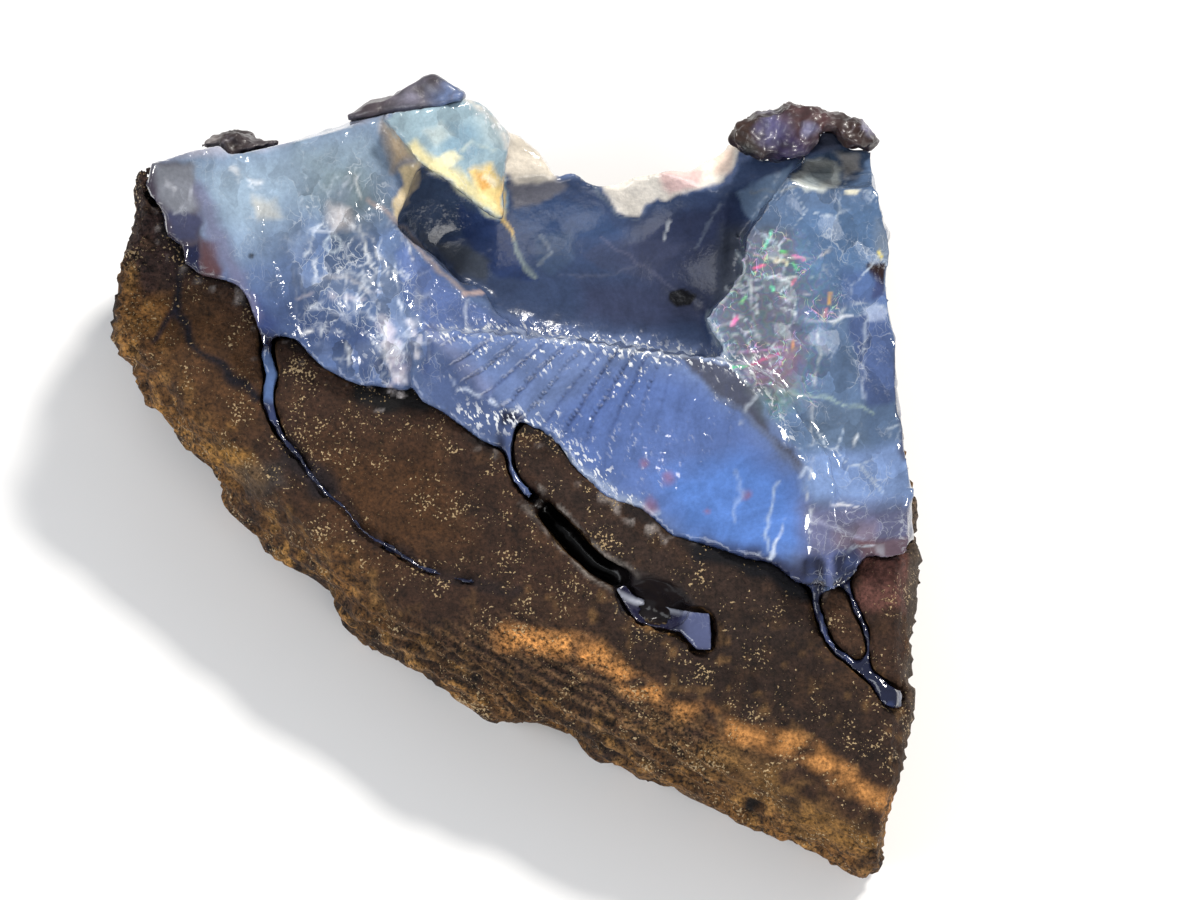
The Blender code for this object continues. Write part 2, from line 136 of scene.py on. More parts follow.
table = bpy.data.meshes.new("floor")
table.from_pydata([(-3, -3, 0), (3, -3, 0), (3, 3, 0), (-3, 3, 0)], [], [(0, 1, 2, 3)])
floor = bpy.data.objects.new("floor", table)
bpy.context.scene.collection.objects.link(floor)
paper, tree, shader = material("paper", {"Roughness": 0.9})
place = add(tree, "TexCoord").outputs["Object"]
tooth = texture(tree, place, 60.0, 2.0)
white = mixed(tree, tooth, (0.86, 0.86, 0.86, 1), (0.88, 0.88, 0.88, 1))
tree.links.new(white, shader.inputs["Base Color"])
table.materials.append(paper)


# Ironstone matrix
# A block of dark brown sandy ironstone, in layers that run parallel to its lower edge, with an ochre skin.
# It is a closer copy of the CAD solid: its ledges, lumps, pits and grains are raised in the mesh.
STONE_GRAIN = 0.66
# The plane of sight, in mm: where the middle of the table is seen, and how much of a depth and a height shows
SEEN_X = 51.32
SEEN_Y = 35.21
DEPTH_SHOWN = 0.866
HEIGHT_SHOWN = 0.5
LAYERS = np.array((0.504, 0.864))
VEIN_ROUTES = [
    [(26.9, 56.5), (26.9, 54.8), (27.4, 52.5), (27, 50), (27.8, 47.5), (28.6, 46), (30, 44.5),
     (31.3, 42.5), (32.7, 40.8), (34.6, 39.3), (36.4, 37), (38.2, 35.8), (40.5, 34.5), (42.4, 33.2),
     (45, 32.4), (48, 31.7), (51.5, 31)],
    [(51.4, 48.4), (51.1, 46.4), (50.9, 44.8), (51.2, 43), (52, 41.5), (53.3, 40.2)],
    [(81, 33.6), (81, 31.4), (81.4, 29.6), (82, 27.2), (83.2, 25.2), (85, 23.8), (87, 22.4),
     (88.6, 20.6), (90, 20.2)],
    [(84.2, 34), (84.3, 31.8), (85.2, 29.4), (86.2, 27.4), (86.6, 25.4), (86.2, 23.4)],
]
CONTACT_ROUTE = [
    (16.8, 68.4), (17, 66.3), (18.6, 65.3), (18.8, 63.4), (20.5, 62.2), (24.4, 61.2), (25.9, 57.4),
    (26.3, 55.2), (28.6, 56.2), (31, 54.5), (34.5, 52), (38.6, 51.2), (41.6, 51.4), (44, 49),
    (48, 46), (50, 45), (51.3, 47), (54, 46.9), (56.5, 44.5), (59, 41.8), (62, 39.7),
    (65.5, 38), (67, 36.5), (73, 34.8), (77, 33.8), (80.6, 31.2), (84, 31.6), (86, 34.6),
    (90.9, 34.8),
]
CRACK_ROUTE = [(53.4, 40.2), (54.2, 39.4), (56, 37.4), (57.8, 35.4), (59.6, 33.6), (61.4, 32.6), (62.6, 32)]
SKIN_ROUTE = [
    (13.6, 73.3), (13, 65.2), (11.2, 56.5), (14, 50.2), (19.6, 44.2), (22.8, 38.8), (28, 33.7),
    (33.3, 31), (35.2, 27.5), (40, 23.6), (45.8, 20.2), (49.7, 17.9), (58, 15.8), (66, 11.5),
    (74, 8), (80, 5), (86.2, 2.4),
]


def seen(places):
    """Where each point is seen in the plane of sight, in mm across and up."""
    up = SEEN_Y + DEPTH_SHOWN * places[:, 1] + HEIGHT_SHOWN * places[:, 2]
    return np.stack([places[:, 0] + SEEN_X, up], axis=1)


def held(values):
    """Values held between 0 and 1."""
    return np.clip(values, 0, 1)


def hashed(cells, seed):
    """A steady number from 0 to 1 for each cell of a lattice."""
    key = cells[:, 0] * 73856093 ^ cells[:, 1] * 19349663 ^ cells[:, 2] * 83492791 ^ (seed * 2654435 + 97)
    key = (key ^ (key >> 13)) * 1274126177 & 0xFFFFFFFF
    key = (key ^ (key >> 15)) * 2246822519 & 0xFFFFFFFF
    return ((key ^ (key >> 16)) & 0xFFFF) / 65535


def noise(places, size, seed=0):
    """Smooth lumps from -1 to 1, about so many mm apart."""
    spot = places / size + seed * 7.31
    cell = np.floor(spot).astype(np.int64)
    part = spot - cell
    part = part * part * (3 - 2 * part)
    total = np.zeros(len(places))
    for corner in np.ndindex(2, 2, 2):
        weight = np.where(corner, part, 1 - part).prod(axis=1)
        total += weight * (hashed(cell + corner, seed) * 2 - 1)
    return total


def blotches(places, size, seed, gain, lift=0):
    """Patches of noise from 0 to 1: the gain sharpens their edges and the lift widens them."""
    return held(noise(places, size, seed) * gain + lift)


def shells(places, size, seed=0):
    """Shells that meet in sharp ridges, as in broken glass: depth in the shell, room to its ridge."""
    spot = places / size
    cell = np.floor(spot).astype(np.int64)
    first = np.full(len(places), 9.0)
    second = first.copy()
    for step in np.ndindex(3, 3, 3):
        beside = cell + step - 1
        middle = beside + np.stack([hashed(beside, seed + turn) for turn in (11, 23, 37)], axis=1)
        reach = ((spot - middle) ** 2).sum(axis=1)
        second = np.minimum(second, np.maximum(first, reach))
        first = np.minimum(first, reach)
    return first, np.sqrt(second) - np.sqrt(first)


def scoops(places, size, seed=0):
    return shells(places, size, seed)[0]


def apart(spots, route, closed=False):
    """How far each seen spot is from a line through the route's points, in mm."""
    route = np.array(route, float)
    ends = np.roll(route, -1, axis=0)
    best = np.full(len(spots), 1e9)
    for start, end in list(zip(route, ends))[: len(route) if closed else -1]:
        run = end - start
        share = held((spots - start) @ run / (run @ run))
        best = np.minimum(best, np.hypot(*(spots - start - share[:, None] * run).T))
    return best


def near(spots, route, width, blur):
    """1 on a line of this width and 0 away from it."""
    return held(0.5 + (width / 2 - apart(spots, route)) / blur)


def within(spots, outline, blur):
    """1 inside an outline and 0 outside it, over an edge of so many mm."""
    route = np.array(outline, float)
    inside = np.zeros(len(spots), bool)
    for (x, y), (next_x, next_y) in zip(route, np.roll(route, -1, axis=0)):
        rise = next_y - y or 1e-9
        inside ^= ((y > spots[:, 1]) != (next_y > spots[:, 1])) & (
            spots[:, 0] < x + (spots[:, 1] - y) * (next_x - x) / rise
        )
    return held(0.5 + apart(spots, outline, True) * np.where(inside, 1, -1) / blur)


def wash(tint, cover, colour):
    """Lays a colour over the tint where cover is 1."""
    tint += held(cover)[:, None] * (linear(colour) - tint)


def refined(node, grain, smooth):
    """A closer-meshed copy of a CAD node, smoothed so many times, as an object of its own."""
    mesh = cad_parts[node].data.copy()
    shape = bmesh.new()
    shape.from_mesh(mesh)
    bmesh.ops.remove_doubles(shape, verts=shape.verts, dist=1e-6)
    shape.to_mesh(mesh)
    shape.free()
    mesh.materials.clear()
    piece = bpy.data.objects.new(node + "_look", mesh)
    bpy.context.scene.collection.objects.link(piece)
    voxels = piece.modifiers.new("grain", "REMESH")
    voxels.mode = "VOXEL"
    voxels.voxel_size = grain * MM
    rubbed = piece.modifiers.new("rubbed", "SMOOTH")
    rubbed.factor = 0.5
    rubbed.iterations = smooth
    piece.data = bpy.data.meshes.new_from_object(piece.evaluated_get(bpy.context.evaluated_depsgraph_get()))
    piece.modifiers.clear()
    piece.data.name = piece.name
    return piece


def closer(piece, low):
    """Halves the faces that look towards the camera and lie above this height in mm."""
    shape = bmesh.new()
    shape.from_mesh(piece.data)
    faces = [f for f in shape.faces if f.normal.dot(SIGHT) > 0.15 and f.calc_center_median().z > low * MM]
    edges = list({edge for face in faces for edge in face.edges})
    bmesh.ops.subdivide_edges(shape, edges=edges, cuts=1, use_grid_fill=True)
    bmesh.ops.triangulate(shape, faces=[f for f in shape.faces if len(f.verts) > 4])
    shape.to_mesh(piece.data)
    shape.free()


def read(piece, kind="vertices", field="co"):
    values = np.empty(len(piece.data.vertices) * 3, np.float32)
    getattr(piece.data, kind).foreach_get(field, values)
    return values.reshape(-1, 3).astype(float)


def raised(piece, heights):
    """Moves every point out by its height in mm, and keeps all of them off the table."""
    places = read(piece) + read(piece, "vertex_normals", "vector") * heights[:, None] * MM
    places[:, 2] = np.maximum(places[:, 2], OFF_TABLE)
    piece.data.vertices.foreach_set("co", places.ravel().astype(np.float32))
    piece.data.update()
    piece.data.shade_smooth()


def keep(piece, name, values):
    """Stores three values a point for the material."""
    layer = piece.data.color_attributes.new(name, "FLOAT_COLOR", "POINT")
    layer.data.foreach_set("color",
        np.column_stack([values, np.ones(len(values))]).ravel().astype(np.float32))


def spot(across, up, height):
    """The point in mm that is seen at (across, up), and that is so high above the table."""
    return np.array((across - SEEN_X, (up - SEEN_Y - HEIGHT_SHOWN * height) / DEPTH_SHOWN, height))


def below(places, a, b, c):
    """How far each point is below the plane through three seen points, in mm."""
    a, b, c = spot(*a), spot(*b), spot(*c)
    normal = np.cross(b - a, c - a)
    normal = normal / np.linalg.norm(normal) * np.sign(normal[2])
    return (a - places) @ normal


stone = refined("ironstone_matrix", STONE_GRAIN, 2)
closer(stone, 3.0)
places = read(stone) / MM
spots = seen(places)
facing = read(stone, "vertex_normals", "vector") @ np.array(SIGHT)
ragged = spots + np.stack([noise(places, 2.0, 3), noise(places, 2.0, 4)], axis=1) * 0.6
depth = below(places, (13.5, 72.0, 28.4), (87.0, 5.0, 17.3), (91.5, 34.0, 26.3))
layer = spots @ LAYERS + noise(places, 9.0, 5) * 0.8
skin = held(1.1 - apart(ragged, SKIN_ROUTE) / 5.0)
skin = np.maximum(skin, np.clip(0.35 - facing, 0, 0.5) * 2)
skin[depth > 9] = 1
bedding = within(ragged, [(34, 29), (44, 27), (52, 28), (60, 25), (66, 21), (74, 15), (70, 10), (58, 15),
    (48, 18), (38, 24)], 4)
joint = near(spots, CONTACT_ROUTE, 2.4, 0.6)
for route in VEIN_ROUTES:
    joint = np.maximum(joint, near(spots, route, 3.0, 0.6))
walls = joint * held(depth * 3 - 0.3) * held(1.6 - 2 * facing)
quiet = near(spots, CRACK_ROUTE, 5.0, 2.0)
rough = held(skin + 0.5 * within(ragged,
    [(60, 32), (92, 20), (92, 2), (60, 14), (40, 22), (22, 38), (30, 36), (44, 28)], 6))
ledges = np.abs((layer / 1.15) % 1 - 0.35)
pits = blotches(places, 1.5, 11, 2.2, -0.8) * rough
heights = (noise(places, 4.2, 6) * 0.30 + noise(places, 1.9, 7) * 0.30) * (0.3 + 1.1 * skin)
heights += noise(places, 1.0, 8) * (0.08 + 0.22 * rough) + noise(places, 0.6, 10) * (0.06 + 0.12 * rough)
heights += ledges * (0.08 + 0.75 * skin + 0.75 * bedding) - 0.35 * scoops(places, 1.6,
    9) * skin - 0.5 * pits - 0.18
heights = np.minimum(heights * (1 - 0.7 * np.maximum(quiet, joint)), 0.40)
raised(stone, heights + 0.38 * walls)

tint = np.tile(linear((46, 30, 22)), (len(places), 1))
wash(tint, 0.5 + 0.6 * noise(places, 9.0, 12), (52, 34, 24))
# Each wash: its outline, the width of its edge, its strength and its colour.
for outline, blur, strength, paint in (
    ([(31, 46), (44, 45), (47, 36), (38, 33), (32, 38)], 5, 0.8, (66, 42, 22)),
    ([(11, 64), (19, 62), (25, 57), (27, 47), (20, 46), (12, 53)], 3, 0.9, (70, 46, 26)),
    ([(13.6, 62.2), (18, 61.6), (18.2, 57), (16.2, 55.6), (13.2, 58)], 1.2, 0.8, (92, 60, 30)),
    ([(50, 46), (56, 43), (66, 36), (78, 32), (82, 26), (74, 24), (64, 30), (54, 42)], 2, 0.6,
        (38, 29, 26)),
    ([(58, 31), (70, 30), (84, 24), (90, 14), (84, 12), (70, 20), (60, 26)], 3, 0.6, (34, 24, 20)),
):
    wash(tint, within(ragged, outline, blur) * strength, paint)
wash(tint, blotches(places, 2.2, 19, 1.3, -0.2) * 0.45, (34, 23, 18))
wash(tint, blotches(places, 1.6, 20, 1.3, -0.35) * 0.5, (70, 48, 30))
wash(tint, skin * (0.60 + 0.45 * noise(places, 2.6, 13)), (116, 80, 40))
wash(tint, skin * blotches(places, 3.2, 14, 1.8), (48, 34, 27))
wash(tint, skin * blotches(places, 1.4, 16, 1.7, -0.3), (156, 114, 60))
wash(tint, rough * blotches(places, 0.9, 46, 1.8, -0.5) * 0.8, (132, 98, 58))
wash(tint, rough * blotches(places, 0.9, 47, 1.8, -0.5) * 0.7, (26, 18, 15))
wash(tint, pits, (18, 13, 12))
wash(tint, bedding * held(np.sin(layer * 5.4 + noise(places, 3, 15) * 2) - 0.1) * 0.8, (98, 74, 50))
wash(tint, bedding * held(-np.sin(layer * 5.4 + noise(places, 3, 15) * 2)) * 0.8, (28, 19, 15))
band = [(50.5, 26.3), (56, 25.6), (60, 24.9), (61.5, 23.3), (66, 20.3), (71, 18.2), (76, 16.4), (80, 15.6),
    (85, 12), (88.4, 9.8)]
broken = held(0.85 + 1.1 * noise(places, 1.3, 17) + 0.6 * noise(places, 4.0, 48))
# Each ochre streak: its route, its width, the width of its edge, its strength and its colour.
for route, width, blur, strength, paint in (
    (band, 1.9, 1.3, 1.0, (168, 116, 64)),
    ([(66, 17.5), (74, 13.5), (82, 9)], 2.4, 3.0, 0.8, (118, 86, 46)),
    ([(80, 9), (83, 7.4), (87, 6)], 2.0, 2.0, 1.0, (128, 92, 46)),
    ([(21.6, 45), (24, 43.6), (25.8, 42.4)], 1.8, 1.4, 1.0, (136, 98, 46)),
):
    wash(tint, near(ragged, route, width, blur) * broken * strength, paint)
wash(tint, within(ragged, [(23.4, 43.4), (28.6, 44), (29, 41.4), (25, 40.6)], 1.2) * 0.7, (52, 48, 46))
wash(tint, within(ragged, [(12, 74), (17, 74), (18, 66), (21, 62), (15, 60), (12.6, 64)], 1.5) * 0.9,
    (40, 28, 28))
# Partly a dark joint, partly painted shadow: the near-black line along the contact, where the opal's edge
# overhangs the ironstone.
wash(tint, near(ragged, CONTACT_ROUTE, 1.0, 0.7) * 0.85, (18, 14, 15))
wash(tint, near(ragged, CONTACT_ROUTE, 2.6, 0.6) * blotches(places, 0.8, 49, 2.2, -0.9), (120, 112, 108))
wash(tint, near(ragged, [(36.4, 50.8), (38.6, 50.2), (41, 49.8), (42.6, 49.6)], 2.4, 0.8), (12, 10, 11))
wash(tint, near(ragged, [(36.4, 50.8), (38.6, 50.2), (41, 49.8)], 2.4, 0.4)
    * blotches(places, 0.6, 50, 2.4, -0.9), (190, 182, 180))
# Partly a dark joint, partly painted shadow: a near-black strip under the opal's edge at the foot of the
# seam.
wash(tint, near(ragged, [(70, 35.2), (77, 33.2), (80.8, 31)], 2.2, 0.8), (10, 9, 14))
for route in VEIN_ROUTES:
    wash(tint, near(ragged, route, 1.3, 0.5) * 0.6, (20, 16, 20))
wash(tint, near(ragged, [(29.4, 44.8), (31, 43.2), (32.6, 41.4)], 2.6, 1.0) * 0.8, (22, 19, 24))
wash(tint, near(ragged, [(18, 62), (18.3, 58), (20, 55), (22.5, 53), (25.5, 50)], 0.8, 0.5), (16, 14, 22))
wash(tint, near(ragged, [(18.2, 59), (16.8, 57.5), (15.5, 56)], 0.8, 0.5) * 0.9, (20, 18, 30))
wash(tint, near(ragged, [(49, 40), (51, 38.2), (52, 36), (52, 34.6)], 0.25, 0.3) * 0.8, (14, 10, 9))
wash(tint, within(ragged, [(85.2, 29.6), (90.6, 29.2), (90.8, 34.6), (86, 34.4)], 1.0), (82, 52, 46))
wash(tint, within(ragged, [(81.8, 31), (84, 31), (86.2, 26.6), (84.4, 24.6), (82.4, 27)], 0.8) * 0.8,
    (60, 40, 27))
wash(tint, within(ragged, [(90.2, 12), (94, 12), (94, 50), (90.9, 48)], 0.6) * 0.9, (70, 60, 52))
wash(tint, near(spots, CRACK_ROUTE, 2.9, 0.3) * (depth < 0.8) * blotches(places, 1.2, 18, 1.0, 0.5),
    (120, 112, 106))
# Painted shade: the crack is painted near-black where it runs below the face, and the pocket darker as it
# deepens.
hole = near(spots, CRACK_ROUTE, 2.3, 0.5) * held(depth - 0.35)
pocket = within(spots, [(61.2, 33.4), (64, 33), (68, 31.5), (69.4, 29.4), (66, 27.6), (61.6, 29)], 0.6)
pocket *= held(depth * 1.5)
wash(tint, hole, (4, 3, 4))
wash(tint, pocket, (30, 26, 28))
keep(stone, "tint", tint)
# Its third mark is the painted shade of the crack and the pocket, where the grain is left out and the stone
# is glossier.
keep(stone, "marks", np.stack([skin, bedding, np.maximum(hole, pocket)], axis=1))


def scaled(tree, value, low, high, least=0.3, most=0.7):
    """Takes a value from between least and most to between low and high."""
    values = {"Value": value, "From Min": least, "From Max": most, "To Min": low, "To Max": high}
    return add(tree, "MapRange", values).outputs[0]


def painted(tree, name):
    return add(tree, "Attribute", attribute_name=name).outputs["Color"]


def grey(tree, value):
    return add(tree, "CombineColor", {"Red": value, "Green": value, "Blue": value}).outputs[0]


def hand_out(group, values):
    """Gives a node group an output for each named value or colour."""
    for name, value in values.items():
        kind = "NodeSocketColor" if value.type == "RGBA" else "NodeSocketFloat"
        group.interface.new_socket(name, in_out="OUTPUT", socket_type=kind)
    exit_node = group.nodes.new("NodeGroupOutput")
    for name, value in values.items():
        group.links.new(value, exit_node.inputs[name])


def bumped(tree, shader, height, strength, distance):
    """Lifts the shader's surface by a height, by so many metres at most."""
    values = {"Height": height, "Strength": strength, "Distance": distance}
    tree.links.new(add(tree, "Bump", values).outputs[0], shader.inputs["Normal"])


grain = bpy.data.node_groups.new("sand_grain", "ShaderNodeTree")
place = add(grain, "TexCoord").outputs["Object"]
mottle = texture(grain, place, 520.0, 5.0, 0.68)
grit = texture(grain, place, 2600.0, 3.0, 0.65)
aside = add(grain, "VectorMath", {0: place, 1: (0.31, 0.17, 0.23)}, operation="ADD").outputs[0]
flake = texture(grain, aside, 3900.0, 1.0)
patch = texture(grain, aside, 240.0, 3.0, 0.7)
speck = ramped(grain, maths(grain, "ADD", flake, patch), 1.19, 1.26)
height = maths(grain, "MULTIPLY_ADD", mottle, 0.9,
    maths(grain, "MULTIPLY_ADD", grit, 0.5, maths(grain, "MULTIPLY", speck, 0.3)))
hand_out(grain, {"Mottle": mottle, "Grit": grit, "Speck": speck, "Height": height})

ironstone, tree, shader = material("ironstone", {"Specular IOR Level": 0.22})
sand = add(tree, "Group", node_tree=grain).outputs
colour = painted(tree, "tint")
marks = add(tree, "SeparateColor", {"Color": painted(tree, "marks")}).outputs
solid = maths(tree, "SUBTRACT", 1.0, marks["Blue"])
rough = maths(tree, "MAXIMUM", marks["Red"], marks["Green"])
shade = scaled(tree, sand["Mottle"], 0.55, 1.4)
spread = maths(tree, "MULTIPLY_ADD", rough, 3.6, 3.0)
gritty = maths(tree, "MULTIPLY_ADD", maths(tree, "SUBTRACT", sand["Grit"], 0.5), spread, 1.0)
shade = maths(tree, "MULTIPLY", shade, maths(tree, "MAXIMUM", gritty, 0.12))
shade = maths(tree, "MULTIPLY_ADD", maths(tree, "SUBTRACT", shade, 1.0), solid, 1.0)
body = mixed(tree, 1.0, colour, grey(tree, shade), "MULTIPLY")
glitter = maths(tree, "MULTIPLY", sand["Speck"], solid)
gold = mixed(tree, sand["Grit"], (*linear((130, 92, 48)), 1), (*linear((226, 202, 158)), 1))
body = mixed(tree, maths(tree, "MULTIPLY", glitter, 0.7), body, gold)
tree.links.new(body, shader.inputs["Base Color"])
dull = maths(tree, "MULTIPLY_ADD", glitter, -0.5, 0.80)
dull = maths(tree, "MULTIPLY_ADD", marks["Blue"], -0.62, dull)
tree.links.new(dull, shader.inputs["Roughness"])
bumped(tree, shader, maths(tree, "MULTIPLY", sand["Height"], solid), 1.0, 0.0004)
stone.data.materials.append(ironstone)
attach(stone, "root")
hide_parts("ironstone_matrix")


# Opal seam
# Milky blue opal, broken open: a facet on the left, a thin blade with a golden glow of painted light, a
# hollow darkened partly with painted shade under a rim painted cream as painted light, a striated front lip
# and a clearer block on the right. Its veins run down into the ironstone.
OPAL_GRAIN = 0.55
FAN = (74.5, 76)
FRONT_FACET = [(44, 57), (55, 56.6), (64, 55.6), (75, 54.4), (75.5, 51), (72, 46), (66, 41), (60, 42.5),
    (55, 46), (50, 49), (45, 52)]
HOLLOW = [
    (43, 64.8), (47, 67), (50.6, 67.9), (50.6, 72.4), (59, 71.9), (60.5, 70.5), (62, 68.6), (64.4, 68.5),
    (65, 69.8), (70, 70.7), (73, 71.6), (74, 73.7), (79, 73.6), (78, 71.5), (75, 67), (73.7, 63.8),
    (72, 60), (70.5, 57.8), (71.5, 55.2), (67, 55.6), (60, 56.8), (54, 57.6), (50, 59), (46.5, 61)]
RIGHT_BLOCK = [
    (80, 73.8), (78, 71.5), (76.5, 69.5), (75, 67), (74, 65.7), (74.5, 64.5), (73.7, 63.8), (74.2, 62.8),
    (72, 60), (70.8, 58.8), (70.5, 57.8), (71.5, 56), (73, 53.5), (74.5, 51.5), (76, 51), (76.6, 48.4),
    (78.5, 46), (80.4, 43.4), (81.8, 41.4), (80.4, 39), (80.6, 31), (94, 31), (94, 78)]

opal = refined("opal_seam", OPAL_GRAIN, 1)
closer(opal, 12.0)
places = read(opal) / MM
spots = seen(places)
facing = read(opal, "vertex_normals", "vector") @ np.array(SIGHT)
wander = np.stack([noise(places, 1.5, 21) + 0.5 * noise(places, 0.7, 22),
    noise(places, 1.5, 23) + 0.5 * noise(places, 0.7, 24)], axis=1)
ragged = spots + wander * 0.35
ribbed = within(ragged, FRONT_FACET, 3.5)
cracked = within(ragged, [(29, 70), (36, 73), (41.5, 67), (42.5, 57), (42, 51), (35, 52), (31.5, 58)], 4)
crest = near(ragged, [(43, 56.8), (50, 56.6), (56, 56), (64, 55), (70, 54.2), (76, 53.4)], 1.6, 1.0)
bowl = within(ragged, HOLLOW, 0.9)
right = within(ragged, RIGHT_BLOCK, 0.5)
left = within(ragged, [(17, 74.5), (38, 79.4), (41.8, 76), (39.6, 67), (49.6, 58.6), (41.8, 50.6),
    (26.4, 55.4), (19.4, 64)], 1.5)
hidden = held(0.6 - facing * 5)
flashy = within(ragged, [(72, 66), (80, 66.4), (83.5, 60), (81, 50), (76, 48), (70, 56)], 2)
flow = within(ragged, [(37.6, 57.8), (42.2, 58.2), (42.6, 55), (41.6, 51.6), (39.2, 50.6), (37.4, 53)], 1.0)
striped = ribbed * (0.25 + 0.75 * within(ragged, [(43, 58), (67, 57), (65, 50), (58, 45), (47, 48)], 4.0))
turned = np.arctan2(FAN[1] - spots[:, 1], FAN[0] - spots[:, 0])
rib = turned / 0.060 + noise(places, 7.0, 25) * 0.35 + noise(places, 1.6, 35) * 0.10
fine_rib = turned / 0.021 + noise(places, 2.5, 26) * 0.5
step = rib % 1
count = np.floor(rib).astype(np.int64)
bold = hashed(np.stack([count, count * 0, count * 0], axis=1), 71)
vein = np.zeros(len(places))
for route in VEIN_ROUTES:
    vein = np.maximum(vein, near(spots, route, 2.4, 0.6))
vein *= 1 - within(spots, [(26, 57), (52.2, 48.6), (60, 42.8), (80, 34.6), (95, 35), (95, 90), (10, 90)],
    0.8)
wide, wide_ridge = shells(places * (1, 0.7, 0.7), 3.0, 27)
small, small_ridge = shells(places * (1, 0.6, 0.6), 1.3, 28)
plate, plate_ridge = shells(places, 4.6, 30)
chip, chip_ridge = shells(places, 1.9, 36)
heights = striped * ((0.35 + 0.4 * bold) * step + 0.16 * (fine_rib % 1) - 0.4)
heights += 0.70 * cracked * (wide - 0.5) + 0.40 * cracked * small
heights += 0.40 * crest * (scoops(places, 1.0, 29) - 0.3)
heights += right * (0.75 * (plate - 0.5) + 0.35 * flashy * (chip - 0.4))
heights += 0.40 * bowl * (scoops(places, 7.0, 31) - 0.4)
heights += hidden * (1.2 * scoops(places, 6.0, 32) + 0.4 * scoops(places, 2.0, 33) - 0.9)
heights += 0.30 * flow * (scoops(places * (1, 0.4, 0.4), 0.9, 37) - 0.3)
heights += noise(places, 6.0, 34) * 0.10 - 0.25 * vein + 0.16 * vein * noise(places, 1.0, 38)
raised(opal, heights)

tint = np.tile(linear((104, 122, 162)), (len(places), 1))
